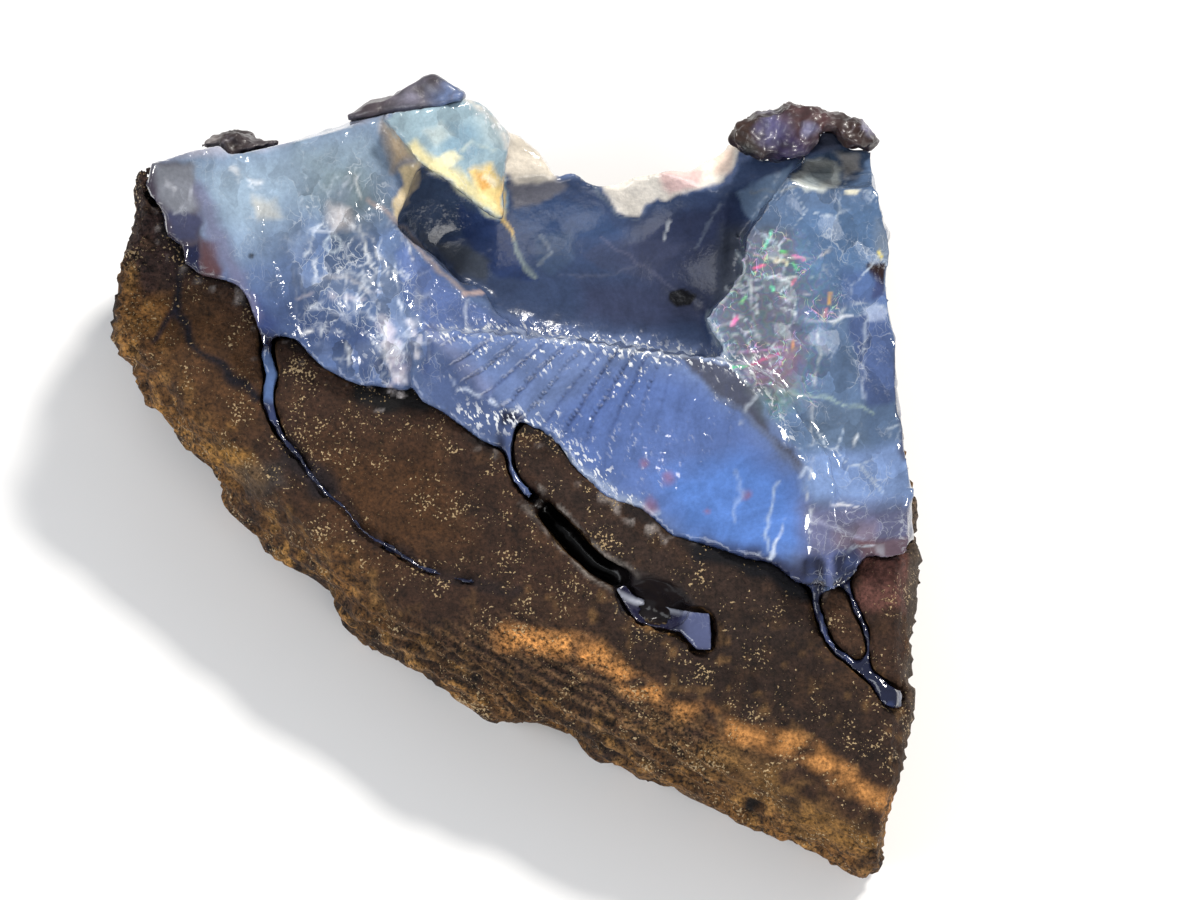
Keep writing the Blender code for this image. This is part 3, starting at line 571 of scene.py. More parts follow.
# Each wash: its outline, the width of its edge, its strength and its colour.
for outline, blur, strength, paint in (
    # The left facet, from milky cyan at the top to deeper blue low down
    ([(17, 74.5), (38, 79.4), (41.8, 76), (40.6, 70), (39.6, 67), (43, 64.6), (47.6, 61.3), (49.6, 58.6),
      (43.2, 56.4), (41.8, 50.6), (31, 53.6), (26.4, 55.4), (19.4, 64)], 1.5, 1.0, (92, 112, 148)),
    ([(19, 73.5), (28, 76.5), (38, 78), (40, 74), (34, 72), (29, 67), (24, 65), (20, 68)], 6, 1.0,
        (142, 162, 182)),
    ([(24, 61), (30, 61), (36, 58), (42, 56), (41, 51), (31, 53), (26, 55)], 5, 0.9, (62, 80, 122)),
    ([(31, 74), (37, 74), (39.5, 69), (35, 67), (31, 70)], 4, 0.8, (118, 134, 138)),
    ([(38.5, 77.5), (41, 76.8), (41.6, 73.6), (39.4, 73)], 1.6, 0.8, (204, 176, 134)),
    ([(25.6, 70.2), (27.6, 69.8), (28.2, 68.2), (26, 67.8)], 0.9, 0.6, (196, 192, 180)),
    ([(33, 69.2), (35.2, 69), (35.6, 67), (33.4, 66.8)], 0.9, 0.8, (214, 208, 208)),
    ([(40, 64.4), (43.6, 63.6), (44.6, 60.4), (41, 59.6)], 1.0, 0.8, (56, 84, 146)),
    ([(25.6, 60.4), (28, 57.8), (27.6, 55.2), (25.8, 56.2), (24.4, 60.4)], 1.2, 0.8, (40, 54, 104)),
    # Patches of opal and dark stone beside it
    ([(14.5, 74), (19.2, 73.4), (20, 70), (20.6, 66), (22.6, 61.6), (25.6, 56.8), (24.2, 56), (20, 62),
        (15.5, 64)], 0.7, 0.9, (58, 44, 48)),
    ([(15.2, 73.6), (19.6, 73.2), (20.2, 69.4), (18.6, 67.6), (16.6, 69.6)], 0.9, 0.9, (124, 128, 138)),
    ([(17, 68.6), (20.4, 68.4), (20.2, 65.8), (17.6, 65.8)], 0.7, 0.9, (56, 60, 88)),
    ([(18.8, 65.2), (20.4, 65.4), (20.5, 62.8), (18.9, 62.8)], 0.4, 1.0, (16, 22, 54)),
    ([(20.6, 66), (22.2, 65.4), (22.6, 62), (20.8, 62)], 0.8, 0.9, (84, 56, 60)),
    # The hollow, with its facets; its navy is partly the opal's own darker colour and partly painted shade,
    # darkest on the left wall and in the notch under the blade
    # Painted shade: the left wall of the hollow, in the shadow under the blade.
    ([(42, 73), (45, 71.5), (48.5, 68.7), (51, 64.6), (52, 62.4), (49, 60.8), (43.6, 64), (40.4, 67.6)],
        0.5, 1.0, (64, 80, 108)),
    (HOLLOW, 0.5, 1.0, (66, 82, 116)),
    ([(64, 68), (73, 70), (75, 66), (72, 60), (70.5, 57.5), (66, 60), (62, 64)], 2, 0.8, (60, 66, 94)),
    # Painted shade: the darker notch right below the blade.
    ([(46, 69.5), (49.4, 68.2), (52.6, 63.6), (53.8, 61.8), (50, 62), (46, 66.5)], 0.4, 0.85,
        (44, 62, 106)),
    ([(43.4, 65.4), (47, 65.2), (49.2, 63.6), (49, 61.6), (46, 62.4)], 0.6, 0.7, (84, 90, 96)),
    ([(50.8, 69.6), (56, 69.8), (60, 69.4), (62, 66.4), (55, 66), (52, 66.8)], 0.6, 0.6, (60, 84, 124)),
    ([(53.5, 66.4), (57, 67), (57.6, 64), (55, 62.4), (53.6, 63.6)], 0.5, 0.6, (76, 96, 126)),
    ([(58.2, 64.8), (62, 65.8), (68.8, 65.6), (65, 62), (60, 63)], 0.4, 0.5, (76, 82, 108)),
    ([(58, 62), (64, 61.6), (70, 58.6), (66, 56.8), (58, 58)], 2.0, 0.5, (66, 66, 92)),
    # Painted light: the blue by the right knob is lightened where the knob shades it.
    ([(73.4, 70.4), (79, 73.4), (78.4, 71.6), (75.4, 67.4)], 0.4, 0.8, (138, 162, 190)),
    # The rim behind the hollow, painted cream and pink-cream: painted light, where light from behind shines
    # through its thin edge
    ([(59, 72.6), (60.3, 70.9), (61.6, 69), (62.6, 68.4), (63.8, 68.3), (64.6, 69.6), (65.6, 70), (67, 70),
      (69.6, 70.8), (72, 71.8), (73, 73.2), (74.2, 75), (74, 78), (70, 76), (65, 75), (60, 74)], 0.35, 1.0,
          (255, 246, 232)),
    ([(65.6, 72.6), (67, 70.4), (70, 71.2), (70.4, 72.8), (68, 72.6)], 0.6, 0.9, (246, 206, 200)),
    ([(70.8, 72.2), (72.6, 72.4), (73.4, 75), (71.6, 74.4)], 0.6, 0.8, (246, 216, 196)),
    # The blade, with its cream end facet, and its golden glow: painted light where light shines through the
    # thin opal
    ([(50.7, 78), (53.8, 75.6), (55.6, 73), (55.6, 71.8), (53.5, 71.6), (51.5, 71.2), (50.5, 73)], 0.6, 1.0,
        (232, 222, 206)),
    ([(50.7, 71.2), (53.5, 71.5), (56, 72), (57, 71.2), (54.8, 69.8), (51.4, 69.2)], 0.5, 1.0,
        (116, 116, 126)),
    ([(38.4, 77.8), (42, 73.5), (45, 71.5), (49, 68.3), (50.6, 67.6), (50.7, 78), (49, 82), (46, 82),
        (43, 80.5)], 0.35, 1.0, (150, 174, 186)),
    ([(44.6, 77), (47, 77.4), (48.6, 74.6), (46.6, 73.4), (44.8, 74.6)], 0.8, 0.6, (116, 148, 170)),
    ([(42.6, 76.6), (44.4, 77.6), (45.4, 76.4), (43.8, 75.2)], 0.6, 0.7, (196, 208, 206)),
    ([(47.6, 78.4), (49.6, 77.6), (50.2, 75), (48.8, 75.4)], 0.6, 0.6, (182, 198, 202)),
    ([(43.8, 73.9), (45.4, 74.5), (46.2, 73.8), (44.8, 73)], 0.4, 0.8, (236, 228, 186)),
    ([(46.8, 72.9), (49.4, 73.2), (50.3, 70.8), (50.1, 68.2), (48.2, 69.8)], 0.5, 0.95, (232, 204, 134)),
    ([(47.6, 72.6), (48.6, 72.8), (49.4, 71.2), (48.2, 71)], 0.4, 0.8, (208, 150, 74)),
    ([(40.2, 72.8), (42.2, 73.4), (41.9, 71.4), (40.8, 69.4), (39.6, 67.8), (39.2, 69), (40.2, 70.8)], 0.5,
        0.95, (226, 204, 160)),
    # The block below the hollow on the left, the striated front lip and its blue facet
    ([(40.5, 65.4), (46.4, 60.2), (50, 58.2), (57, 56.8), (52, 56.2), (46, 56.2), (42.5, 57), (40.6, 61)],
        1.2, 1.0, (86, 106, 156)),
    (FRONT_FACET, 3.5, 0.8, (104, 124, 170)),
    ([(55, 48), (60, 52), (64, 53), (70, 51.5), (75, 47.5), (80, 42), (80.5, 36), (77, 33.4), (70, 35.4),
        (64, 39), (58, 43)], 3, 0.9, (86, 110, 168)),
    ([(66, 42), (74, 44.6), (79, 41.6), (80.4, 34.5), (74, 34.6), (68, 37)], 3, 0.8, (84, 126, 200)),
    ([(41.5, 51.4), (44, 55), (46, 54), (50, 50), (51.4, 47.4), (50, 45), (44, 49)], 1.5, 0.8,
        (62, 78, 118)),
    ([(67.4, 54.6), (73, 53.4), (75.6, 50.6), (76.8, 46.8), (80, 43.8), (82, 41.4), (80.6, 41.2),
        (78, 44.4), (75, 47.6), (71, 51)], 0.5, 1.0, (76, 80, 98)),
    ([(61, 40.6), (66, 38.4), (66, 36), (60, 39)], 1.0, 0.7, (58, 78, 124)),
    # The clearer right block: grey with flashes, blue-grey above, sky blue and lavender below
    (RIGHT_BLOCK, 0.4, 1.0, (88, 110, 142)),
    ([(79, 68), (88, 70), (88, 62), (84, 60), (80, 62)], 2, 0.7, (82, 112, 150)),
    ([(71, 58), (72, 67), (79, 67), (80, 60), (79, 51), (76, 50)], 1.4, 0.8, (84, 90, 102)),
    ([(84.6, 58), (88.6, 59), (90, 50), (86, 49.4)], 0.6, 0.8, (64, 80, 124)),
    ([(80.4, 50), (86, 49.6), (87, 45), (81, 44.6)], 1.0, 0.6, (90, 108, 130)),
    ([(80, 44.8), (93, 45.8), (93, 40), (84, 39.4), (80, 41)], 1.0, 1.0, (116, 140, 184)),
    ([(80, 39.8), (93, 39.8), (93, 33), (80, 33)], 2, 0.9, (92, 92, 122)),
    ([(83, 37), (87, 38), (88, 34.6), (84, 34.6)], 1.2, 0.7, (112, 98, 112)),
    ([(89, 72), (95, 72), (95, 44), (89.6, 44)], 0.6, 0.8, (62, 64, 88)),
    # Painted light: the oval chip below the right knob is painted pale, as lit through, where the knob shades
    # it.
    ([(79, 71.9), (80.4, 73.7), (82.4, 74), (83.9, 73.2), (83.6, 71.8), (82, 70.8), (80, 70.8)], 0.4, 1.0,
        (214, 220, 216)),
    ([(80, 72), (81, 73.2), (82.6, 73.3), (83, 72.2), (81.6, 71.4)], 0.5, 0.8, (160, 174, 180)),
    ([(86.6, 63.6), (88.2, 63.4), (88.3, 60.4), (87, 60)], 0.4, 1.0, (40, 22, 20)),
    ([(83.4, 74.6), (85.4, 74.4), (85.9, 72.8), (84.2, 72.4)], 0.6, 0.8, (206, 202, 196)),
    ([(84.2, 71), (85.8, 70.9), (85.6, 70.2), (84.6, 70.2)], 0.3, 0.9, (226, 220, 196)),
    ([(81.6, 76.8), (83.8, 76.6), (83.9, 74.8), (81.8, 74.6)], 0.6, 0.8, (142, 152, 184)),
    ([(87.2, 68), (89, 66), (89, 62.6), (87.6, 64)], 0.8, 0.6, (128, 138, 150)),
    ([(83.7, 62.6), (86.4, 63), (88.6, 60.8), (88.6, 59.4), (84.2, 59.2)], 1.0, 0.6, (72, 92, 144)),
    ([(85.8, 58.9), (87.4, 59.4), (88.8, 58.8), (88.4, 57.8), (86.4, 57.6)], 0.3, 0.7, (150, 162, 188)),
    # The dark foot of the seam, and the chips by the right vein
    ([(70, 36), (76, 35), (80.6, 33.4), (86, 36), (86, 33), (80.6, 31), (70, 34.4)], 1.4, 0.8,
        (34, 38, 70)),
    ([(86, 22.6), (91, 22.4), (91, 18.4), (87, 19)], 0.8, 1.0, (30, 40, 80)),
    ([(80.4, 34.8), (84, 35), (86, 33), (84.6, 31), (81, 31.4)], 0.6, 0.9, (88, 98, 142)),
    ([(85, 36), (90.6, 36.4), (90.8, 34), (86, 34)], 0.8, 0.7, (98, 70, 70)),
):
    wash(tint, within(ragged, outline, blur) * strength, paint)
# Each line: its route, its width, the width of its edge, its strength and its colour.
for route, width, blur, strength, paint in (
    ([(20.2, 70.6), (21.8, 66.6), (24.2, 61.6), (25.8, 58.2)], 2.0, 0.9, 0.75, (106, 106, 134)),
    ([(17, 74.5), (23, 74.9), (28, 75.8), (33, 77.3), (38, 78.6)], 1.4, 0.9, 0.8, (176, 176, 192)),
    # Painted light: the gold and cream strokes on the blade, where light shines through it, and a painted
    # highlight along its top edge.
    ([(41.6, 75), (42.8, 73.9), (45, 72.4), (47.6, 70.5), (49.8, 68.8)], 1.7, 0.7, 0.85, (234, 220, 162)),
    ([(46.2, 74.6), (47.4, 75.6), (49.4, 74.6)], 0.5, 0.4, 0.8, (196, 208, 200)),
    ([(47.6, 72), (48.8, 72.4), (49.6, 71.4)], 0.5, 0.3, 0.9, (252, 240, 206)),
    ([(46.9, 70.9), (48.2, 70.4), (49.4, 69.6)], 0.4, 0.3, 0.9, (250, 236, 190)),
    ([(46.5, 79.8), (48.5, 78.9), (50.2, 77), (50.6, 75)], 0.9, 0.7, 0.9, (226, 222, 214)),
    ([(50.3, 72), (50.1, 69.4), (50.6, 67.5), (51.4, 66)], 0.45, 0.3, 1.0, (234, 200, 130)),
    ([(51.4, 66), (52.4, 64), (53.4, 62.2)], 0.45, 0.3, 0.8, (150, 164, 160)),
    ([(37.2, 70), (38.5, 68.6), (41, 66.2), (43.5, 63.6), (45.2, 61.8), (46.6, 60.6)], 0.55, 0.4, 0.85,
        (166, 152, 150)),
    ([(46.4, 60.6), (48.2, 60.7)], 0.6, 0.3, 0.9, (186, 164, 160)),
    ([(16.8, 71.8), (17.6, 71), (17.4, 70.2)], 0.5, 0.4, 0.8, (206, 208, 216)),
    ([(19.6, 72.4), (19, 69.8), (18.2, 68.4)], 0.3, 0.3, 0.8, (206, 210, 222)),
    ([(23.4, 72.8), (24.8, 72), (26.6, 71.4)], 0.5, 0.4, 0.8, (226, 230, 236)),
    ([(24, 71.6), (26.4, 70.8)], 0.3, 0.3, 0.7, (220, 226, 234)),
    ([(35.4, 72.8), (35.9, 71.4), (36.5, 70)], 0.25, 0.25, 0.8, (220, 226, 228)),
    ([(31.75, 63.9), (31.9, 61.2)], 0.3, 0.25, 0.9, (226, 232, 240)),
    ([(30.7, 64), (31.4, 65), (31.2, 66.4), (32.4, 67.4)], 0.25, 0.25, 0.8, (212, 220, 230)),
    ([(32.5, 62.2), (35, 62), (37, 60.7), (38.8, 60)], 0.4, 0.3, 0.8, (206, 204, 208)),
    ([(34.5, 62.8), (35, 59.2)], 0.3, 0.25, 0.9, (228, 232, 240)),
    ([(36.4, 67.4), (36.6, 65.6), (37, 63.8), (38.2, 61.2)], 0.35, 0.25, 0.9, (230, 234, 238)),
    ([(37.4, 67), (37.8, 64.6), (39, 61.6)], 0.35, 0.25, 0.9, (230, 234, 240)),
    ([(34.6, 68), (36, 66.8), (37.2, 66.2)], 0.35, 0.3, 0.8, (222, 224, 228)),
    ([(39.7, 63.4), (40, 61), (40.3, 58.6)], 0.3, 0.25, 0.9, (220, 228, 242)),
    ([(30, 59.8), (32.5, 60.7), (34.5, 60), (36.5, 60.1)], 0.3, 0.3, 0.7, (196, 190, 200)),
    ([(31.5, 58.9), (35, 58.5), (37.5, 58)], 0.3, 0.3, 0.8, (206, 214, 230)),
    ([(30.4, 56.5), (31.3, 56.6), (32.3, 56.8), (32.1, 55.8)], 0.45, 0.25, 1.0, (236, 238, 242)),
    ([(33, 57.4), (34.8, 56), (35.1, 53.4)], 0.35, 0.25, 0.9, (224, 230, 240)),
    ([(38.4, 57.6), (39.6, 55.4), (40.2, 53.4), (39.6, 51.2)], 1.9, 0.6, 0.85, (196, 188, 198)),
    ([(42.8, 57.2), (43.2, 55.2), (42.6, 52.6)], 0.9, 0.7, 0.7, (46, 62, 108)),
    ([(36.2, 57), (36.6, 54.8), (36.8, 52.6)], 1.1, 0.9, 0.6, (58, 74, 116)),
    ([(38.2, 57.4), (39, 55), (39.2, 52.6)], 0.4, 0.3, 0.9, (238, 234, 236)),
    ([(41, 57.8), (42, 56), (41.7, 53.6), (40.8, 51.8)], 0.7, 0.4, 0.9, (222, 220, 230)),
    # Painted highlight: a short white glint below the white flow.
    ([(46.9, 60), (46.5, 58.6), (46.9, 56.8)], 0.35, 0.3, 0.9, (216, 224, 242)),
    ([(45.4, 52.4), (45.7, 51), (48.2, 50.5), (49.8, 49.2)], 0.35, 0.3, 0.8, (206, 218, 240)),
    ([(41, 65.6), (41.3, 63.8)], 0.35, 0.25, 1.0, (240, 242, 244)),
    ([(43.6, 56.7), (46, 54), (48.6, 51.4)], 1.6, 1.4, 0.5, (140, 146, 182)),
    ([(59, 72), (59.6, 71), (60.6, 69.8), (61.8, 68.4)], 0.3, 0.3, 0.5, (140, 150, 160)),
    ([(60.2, 66), (64, 63.4), (68, 60.4), (72.6, 57.2)], 0.22, 0.25, 0.5, (118, 120, 142)),
    ([(56, 62.4), (60, 62.2), (64, 63.4)], 0.22, 0.25, 0.4, (116, 122, 142)),
    ([(66.7, 68.4), (66.6, 66.6)], 0.3, 0.25, 1.0, (226, 230, 234)),
    ([(59.4, 70.9), (61, 69.6), (62, 68.2), (63.8, 67.8), (64.6, 69.2)], 0.2, 0.2, 0.5, (120, 132, 148)),
    ([(71.8, 69.6), (70.6, 67), (69.6, 65)], 0.25, 0.25, 0.6, (140, 150, 166)),
    ([(66.4, 67.6), (66.5, 65.8)], 0.25, 0.2, 0.9, (214, 220, 226)),
    ([(54.2, 66.6), (55, 64.8), (53.6, 63.6)], 0.25, 0.25, 0.6, (150, 160, 168)),
    ([(75, 70.9), (78, 70.6), (79.4, 71)], 0.25, 0.25, 0.6, (160, 162, 156)),
    ([(61, 55.6), (69, 52.6), (73, 49.8), (76.6, 46.4), (80.2, 42.2)], 0.3, 0.6, 0.5, (132, 154, 200)),
    ([(75, 60), (75.4, 56), (75.3, 52)], 0.22, 0.25, 0.8, (186, 190, 198)),
    ([(73.6, 64.4), (74.4, 62.8), (72.4, 60), (70.8, 58.6), (70.6, 57.6), (71.6, 55.8), (73.2, 53.4),
        (74.6, 51.6)], 0.35, 0.3, 0.7, (176, 190, 196)),
    ([(75.3, 64.3), (77, 63.9), (78.2, 64.5), (79.4, 64.1), (80.5, 63.9), (82.7, 64.7)], 0.22, 0.2, 0.9,
        (214, 206, 196)),
    ([(77.2, 63.6), (78.2, 63.8), (78.6, 63.2)], 0.5, 0.3, 0.9, (246, 238, 200)),
    ([(79.4, 58.8), (80.6, 58), (81.9, 57.6), (83.4, 57.8), (84.8, 58.2)], 0.3, 0.25, 0.9, (226, 230, 238)),
    ([(72.4, 61.2), (74.2, 60.6), (76, 61)], 0.25, 0.2, 0.8, (206, 212, 216)),
    ([(76.2, 62.2), (77.6, 61.8), (79.6, 62)], 0.25, 0.2, 0.8, (206, 214, 214)),
    ([(74.2, 62.6), (75, 61.6), (74.8, 60)], 0.25, 0.2, 0.7, (196, 206, 210)),
    ([(77.4, 58.6), (78.6, 60), (80.4, 60.4)], 0.25, 0.2, 0.7, (196, 208, 212)),
    ([(73.8, 47.6), (74.4, 49.6), (75.6, 50.4)], 0.35, 0.3, 0.8, (198, 208, 222)),
    ([(79.4, 42), (80.2, 43.2), (81.2, 42)], 0.35, 0.3, 0.7, (196, 210, 232)),
    ([(81.7, 57), (81.5, 53.5), (80.9, 50), (81.2, 46), (80.6, 42), (80.8, 37)], 0.25, 0.25, 0.85,
        (190, 196, 206)),
    ([(86.4, 58), (86, 53), (85.9, 50)], 0.2, 0.25, 0.7, (176, 188, 206)),
    ([(83.2, 57.4), (84.6, 59.8), (87, 59.3), (89, 59)], 0.3, 0.3, 0.8, (196, 204, 210)),
    ([(76.4, 51.6), (79, 50.6), (83, 50), (87, 48.8)], 0.22, 0.25, 0.8, (164, 186, 178)),
    ([(84.6, 45.4), (85.8, 46.8)], 0.3, 0.25, 0.9, (230, 236, 242)),
    ([(77.6, 41.6), (76.6, 38.6), (76.2, 36.4), (76.8, 34.8)], 0.3, 0.3, 0.8, (178, 196, 222)),
    ([(73.4, 43), (74, 40.6), (73.2, 38.2)], 0.25, 0.3, 0.6, (158, 180, 220)),
    ([(80.8, 38.2), (83.6, 37.4), (86, 36.2)], 0.4, 0.4, 0.6, (150, 152, 176)),
    ([(82.6, 39.8), (85.4, 39.5)], 0.2, 0.2, 0.9, (236, 236, 240)),
    ([(66, 36.8), (70, 35.4), (77, 33.9), (80.6, 31.8)], 1.2, 1.0, 0.7, (34, 38, 68)),
    # Painted highlights: this pale stroke on the front lip, and the white line along its crest below, which
    # is partly its chipped edge.
    ([(55.6, 45.6), (58.6, 42.6), (62, 40.3), (65.6, 38.6)], 0.6, 0.6, 0.6, (176, 190, 212)),
    ([(44, 56.9), (50, 56.7), (56, 56.1), (64, 55.1), (70, 54.3), (76, 53.5)], 0.7, 0.5, 0.7,
        (196, 206, 222)),
    ([(74.6, 33.6), (76, 34.4)], 0.6, 0.4, 1.0, (214, 224, 240)),
    ([(76.8, 34.2), (77.6, 35.6), (78, 38)], 0.45, 0.3, 1.0, (206, 218, 238)),
):
    gaps = blotches(places, 0.8, 56, 1.3, 0.55) if min(paint) > 185 else 1.0
    wash(tint, near(ragged, route, width * 0.8, blur) * strength * gaps, paint)
# The spectral flashes of the right block, each a short stroke.
for route, width, paint in (
    ([(74.8, 53.4), (76.2, 54), (77.8, 54.6)], 0.35, (255, 60, 150)),
    ([(73, 53.2), (74.8, 53.4)], 0.35, (60, 235, 140)),
    ([(76.9, 66.6), (76.7, 65.8), (76.2, 64.9)], 0.3, (120, 240, 190)),
    ([(77.9, 64.7), (78.4, 64.6)], 0.3, (110, 230, 120)),
    ([(79.2, 64.3), (80.2, 63.9)], 0.3, (250, 130, 190)),
    ([(75.3, 63), (76.2, 63.3)], 0.35, (250, 90, 150)),
    ([(79.2, 63.4), (79.6, 62.8)], 0.3, (80, 220, 130)),
    ([(73.1, 57.4), (73.5, 58)], 0.6, (255, 130, 190)),
    ([(82.8, 60.6), (82.7, 59.5)], 0.4, (255, 190, 90)),
    ([(82.4, 58.9), (82.2, 58.2)], 0.3, (250, 150, 160)),
    ([(77, 61.2), (77.2, 60.8)], 0.35, (110, 235, 170)),
    ([(79.1, 61.4), (79.3, 61.8)], 0.3, (250, 110, 150)),
    ([(87.6, 64.6), (87.9, 64)], 0.5, (240, 220, 110)),
    ([(74, 59.6), (74.4, 60.2)], 0.3, (150, 240, 160)),
    ([(79, 55.8), (79.2, 55)], 0.3, (255, 180, 90)),
    ([(73.6, 54.6), (76.2, 54.9), (78.6, 55.4)], 0.2, (200, 130, 190)),
):
    wash(tint, near(spots, route, width * 0.6, 0.22) * 0.85, paint)
wash(tint, flashy * within(ragged, [(74, 54), (80, 56), (79, 50), (75.4, 50.6)], 2.0) * 0.45,
    (150, 112, 142))
wash(tint, flashy * within(ragged, [(75, 51), (79.6, 52), (80, 46), (77.6, 46.4)], 2.0) * 0.45,
    (96, 138, 124))
# Pale edges where the shells of the broken opal meet
wash(tint, cracked * held(1 - wide_ridge / 0.07) * blotches(places, 1.6, 39, 2) * 0.7, (206, 214, 228))
wash(tint, cracked * held(1 - small_ridge / 0.09) * blotches(places, 2.0, 40, 2, -0.1) * 0.8,
    (214, 222, 234))
wash(tint, right * held(1 - plate_ridge / 0.04) * blotches(places, 3.0, 53, 2) * 0.8, (190, 202, 216))
wash(tint, right * flashy * held(1 - chip_ridge / 0.08) * blotches(places, 1.4, 54, 2, -0.2) * 0.7,
    (196, 208, 214))
wash(tint, flow * held(small_ridge * 1.5 - 0.2) * 0.4, (150, 150, 176))
wash(tint, cracked * blotches(places, 2.2, 41, 1.6) * 0.3, (150, 164, 188))
dark_rib = held(1.2 - np.abs(step - 0.08) / 0.12) * held(bold * 1.5 - 0.1)
wash(tint, striped * dark_rib * blotches(places, 4.0, 45, 1.0, 0.7) * 0.6, (50, 66, 116))
wash(tint, striped * held(1 - np.abs(fine_rib % 1 - 0.1) / 0.2) * blotches(places, 3.4, 55, 1.5) * 0.35,
    (56, 72, 124))
# Painted shade: a small pit in the hollow, painted near-black.
wash(tint, within(spots, [(66.9, 60.7), (68.2, 61.1), (69.7, 60.4), (69, 59.4), (67.6, 59.2), (66.8, 59.9)],
    0.25), (3, 4, 16))
wash(tint, held(1.3 - np.hypot(*(spots - (25.4, 64.2)).T) / 0.32), (14, 12, 16))
wash(tint, held(1 - np.abs(np.hypot(*(spots - (33.5, 65.4)).T) - 0.8) / 0.25) * 0.8, (196, 210, 224))
for middle, reach in (((66.8, 42), 0.7), ((74.4, 40.4), 0.5), ((65, 39.4), 0.8), ((64.4, 43.8), 0.5),
    ((70.6, 38.8), 0.4)):
    wash(tint, held(1.3 - np.hypot(*(ragged - middle).T) / reach) * 0.55, (150, 96, 112))
wash(tint, vein, (24, 29, 54))
wash(tint, vein * blotches(places, 1.3, 43, 2, -0.3) * 0.7, (56, 68, 108))
wash(tint, vein * within(ragged, [(26, 54.6), (28.4, 54.6), (28.2, 50), (26.4, 50)], 1.0) * 0.9,
    (92, 120, 170))
wash(tint, within(ragged, [(50.2, 47.5), (52.4, 47.5), (54, 40), (51, 41)], 0.8) * 0.9, (76, 92, 134))
wash(tint, hidden, (84, 98, 130))
wash(tint, hidden * blotches(places, 5.0, 57, 1.5), (58, 68, 100))
keep(opal, "tint", tint)
# Painted glints: flecks of white mixed into the base colour along the ribs and the crest, on short lines of
# the front lip, the blade's top edge and the right block's edge, and in the cracked zone, on faces turned
# towards the line of sight.
glint = striped * blotches(places, 3.0, 42, 2.0, 0.25) * held(1.5 - np.abs(step - 0.30) / 0.16)
glint = np.maximum(glint, crest)
for route, width, blur, strength in (
    ([(47, 48.5), (52, 47.8), (56, 45.6), (60, 42.6)], 2.2, 1.4, 0.8),
    ([(56, 44.8), (60, 41.4), (64, 39.6)], 1.2, 1.0, 0.7),
    ([(46.4, 79.6), (48.6, 78.6), (50, 77)], 1.2, 0.8, 0.8),
    ([(70.8, 57.6), (73, 53.8), (76, 50.8), (79, 45.6)], 0.7, 0.6, 0.6),
):
    glint = np.maximum(glint, near(ragged, route, width, blur) * strength)
glint = np.maximum(glint, cracked * blotches(places, 1.6, 44, 1.2, -0.3) * 0.5)
glint *= held(facing * 3 - 0.6)
rainbow = right * flashy
threads = held(0.65 * cracked + 0.5 * right + 0.1 * right * flashy + 0.25 * left + 0.5 * flow + 0.35
    * within(ragged, [(40, 80), (50, 80), (50.6, 68), (45, 71)], 1))
keep(opal, "marks", np.stack([threads, rainbow, glint], axis=1) * (1 - hidden)[:, None])
frost = held(bowl + 0.3 * cracked)
keep(opal, "finish", np.stack([frost] * 3, axis=1))

milk = bpy.data.node_groups.new("opal_depth", "ShaderNodeTree")
place = add(milk, "TexCoord").outputs["Object"]
cloud = texture(milk, place, 170.0, 5.0, 0.6, 1.2)
grit = texture(milk, place, 2600.0, 3.0, 0.6)
ripple = texture(milk, place, 800.0, 3.0, 0.55)


def cracks(size, thickness):
    """Thin straight-sided lines between bent cells, which are taller than they are wide."""
    values = {"Vector": bent, "Scale": size}
    gap = add(milk, "TexVoronoi", values, feature="DISTANCE_TO_EDGE").outputs["Distance"]
    return ramped(milk, gap, thickness, 0.0)


sway = add(milk, "TexNoise", {"Vector": place, "Scale": 420.0, "Detail": 3.0}).outputs["Color"]
sway = add(milk, "VectorMath", {0: sway, 1: (0.5, 0.5, 0.5)}, operation="SUBTRACT").outputs[0]
bent = add(milk, "VectorMath", {0: sway, 1: (0.003, 0.003, 0.003), 2: place},
    operation="MULTIPLY_ADD").outputs[0]
bent = add(milk, "VectorMath", {0: bent, 1: (1.0, 0.55, 0.55)}, operation="MULTIPLY").outputs[0]
facet = add(milk, "TexVoronoi", {"Vector": bent, "Scale": 460.0}).outputs["Color"]
facet = add(milk, "SeparateColor", {"Color": facet}).outputs["Red"]
patches = ramped(milk, texture(milk, place, 330.0, 3.0), 0.46, 0.60)
threads = maths(milk, "MAXIMUM", cracks(460, 0.022), maths(milk, "MULTIPLY", cracks(1100, 0.035), 0.7))
threads = maths(milk, "MULTIPLY", threads, patches)
along = add(milk, "VectorRotate", {"Vector": place, "Angle": -0.52}, rotation_type="Z_AXIS").outputs[0]
along = add(milk, "VectorMath", {0: along, 1: (1.0, 0.4, 0.6)}, operation="MULTIPLY").outputs[0]
spark = texture(milk, along, 2600.0, 2.0, 0.6)
spark = ramped(milk, spark, 0.55, 0.62)
hue = texture(milk, place, 500.0, 2.0)
hue = maths(milk, "FRACT", maths(milk, "MULTIPLY", hue, 7.0))
bright = add(milk, "CombineColor", {"Red": hue, "Green": 0.62, "Blue": 0.95}, mode="HSV").outputs[0]
hand_out(milk, {
    "Cloud": cloud, "Facet": facet, "Threads": threads, "Ripple": ripple, "Grit": grit, "Glint": spark,
    "Rainbow": bright,
})

blue_opal, tree, shader = material("blue_opal",
    {"IOR": 1.45, "Transmission Weight": 0.2, "Specular IOR Level": 0.22, "Coat Roughness": 0.04})
inner = add(tree, "Group", node_tree=milk).outputs
colour = painted(tree, "tint")
marks = add(tree, "SeparateColor", {"Color": painted(tree, "marks")}).outputs
finish = add(tree, "SeparateColor", {"Color": painted(tree, "finish")}).outputs
shade = scaled(tree, inner["Cloud"], 0.74, 1.28)
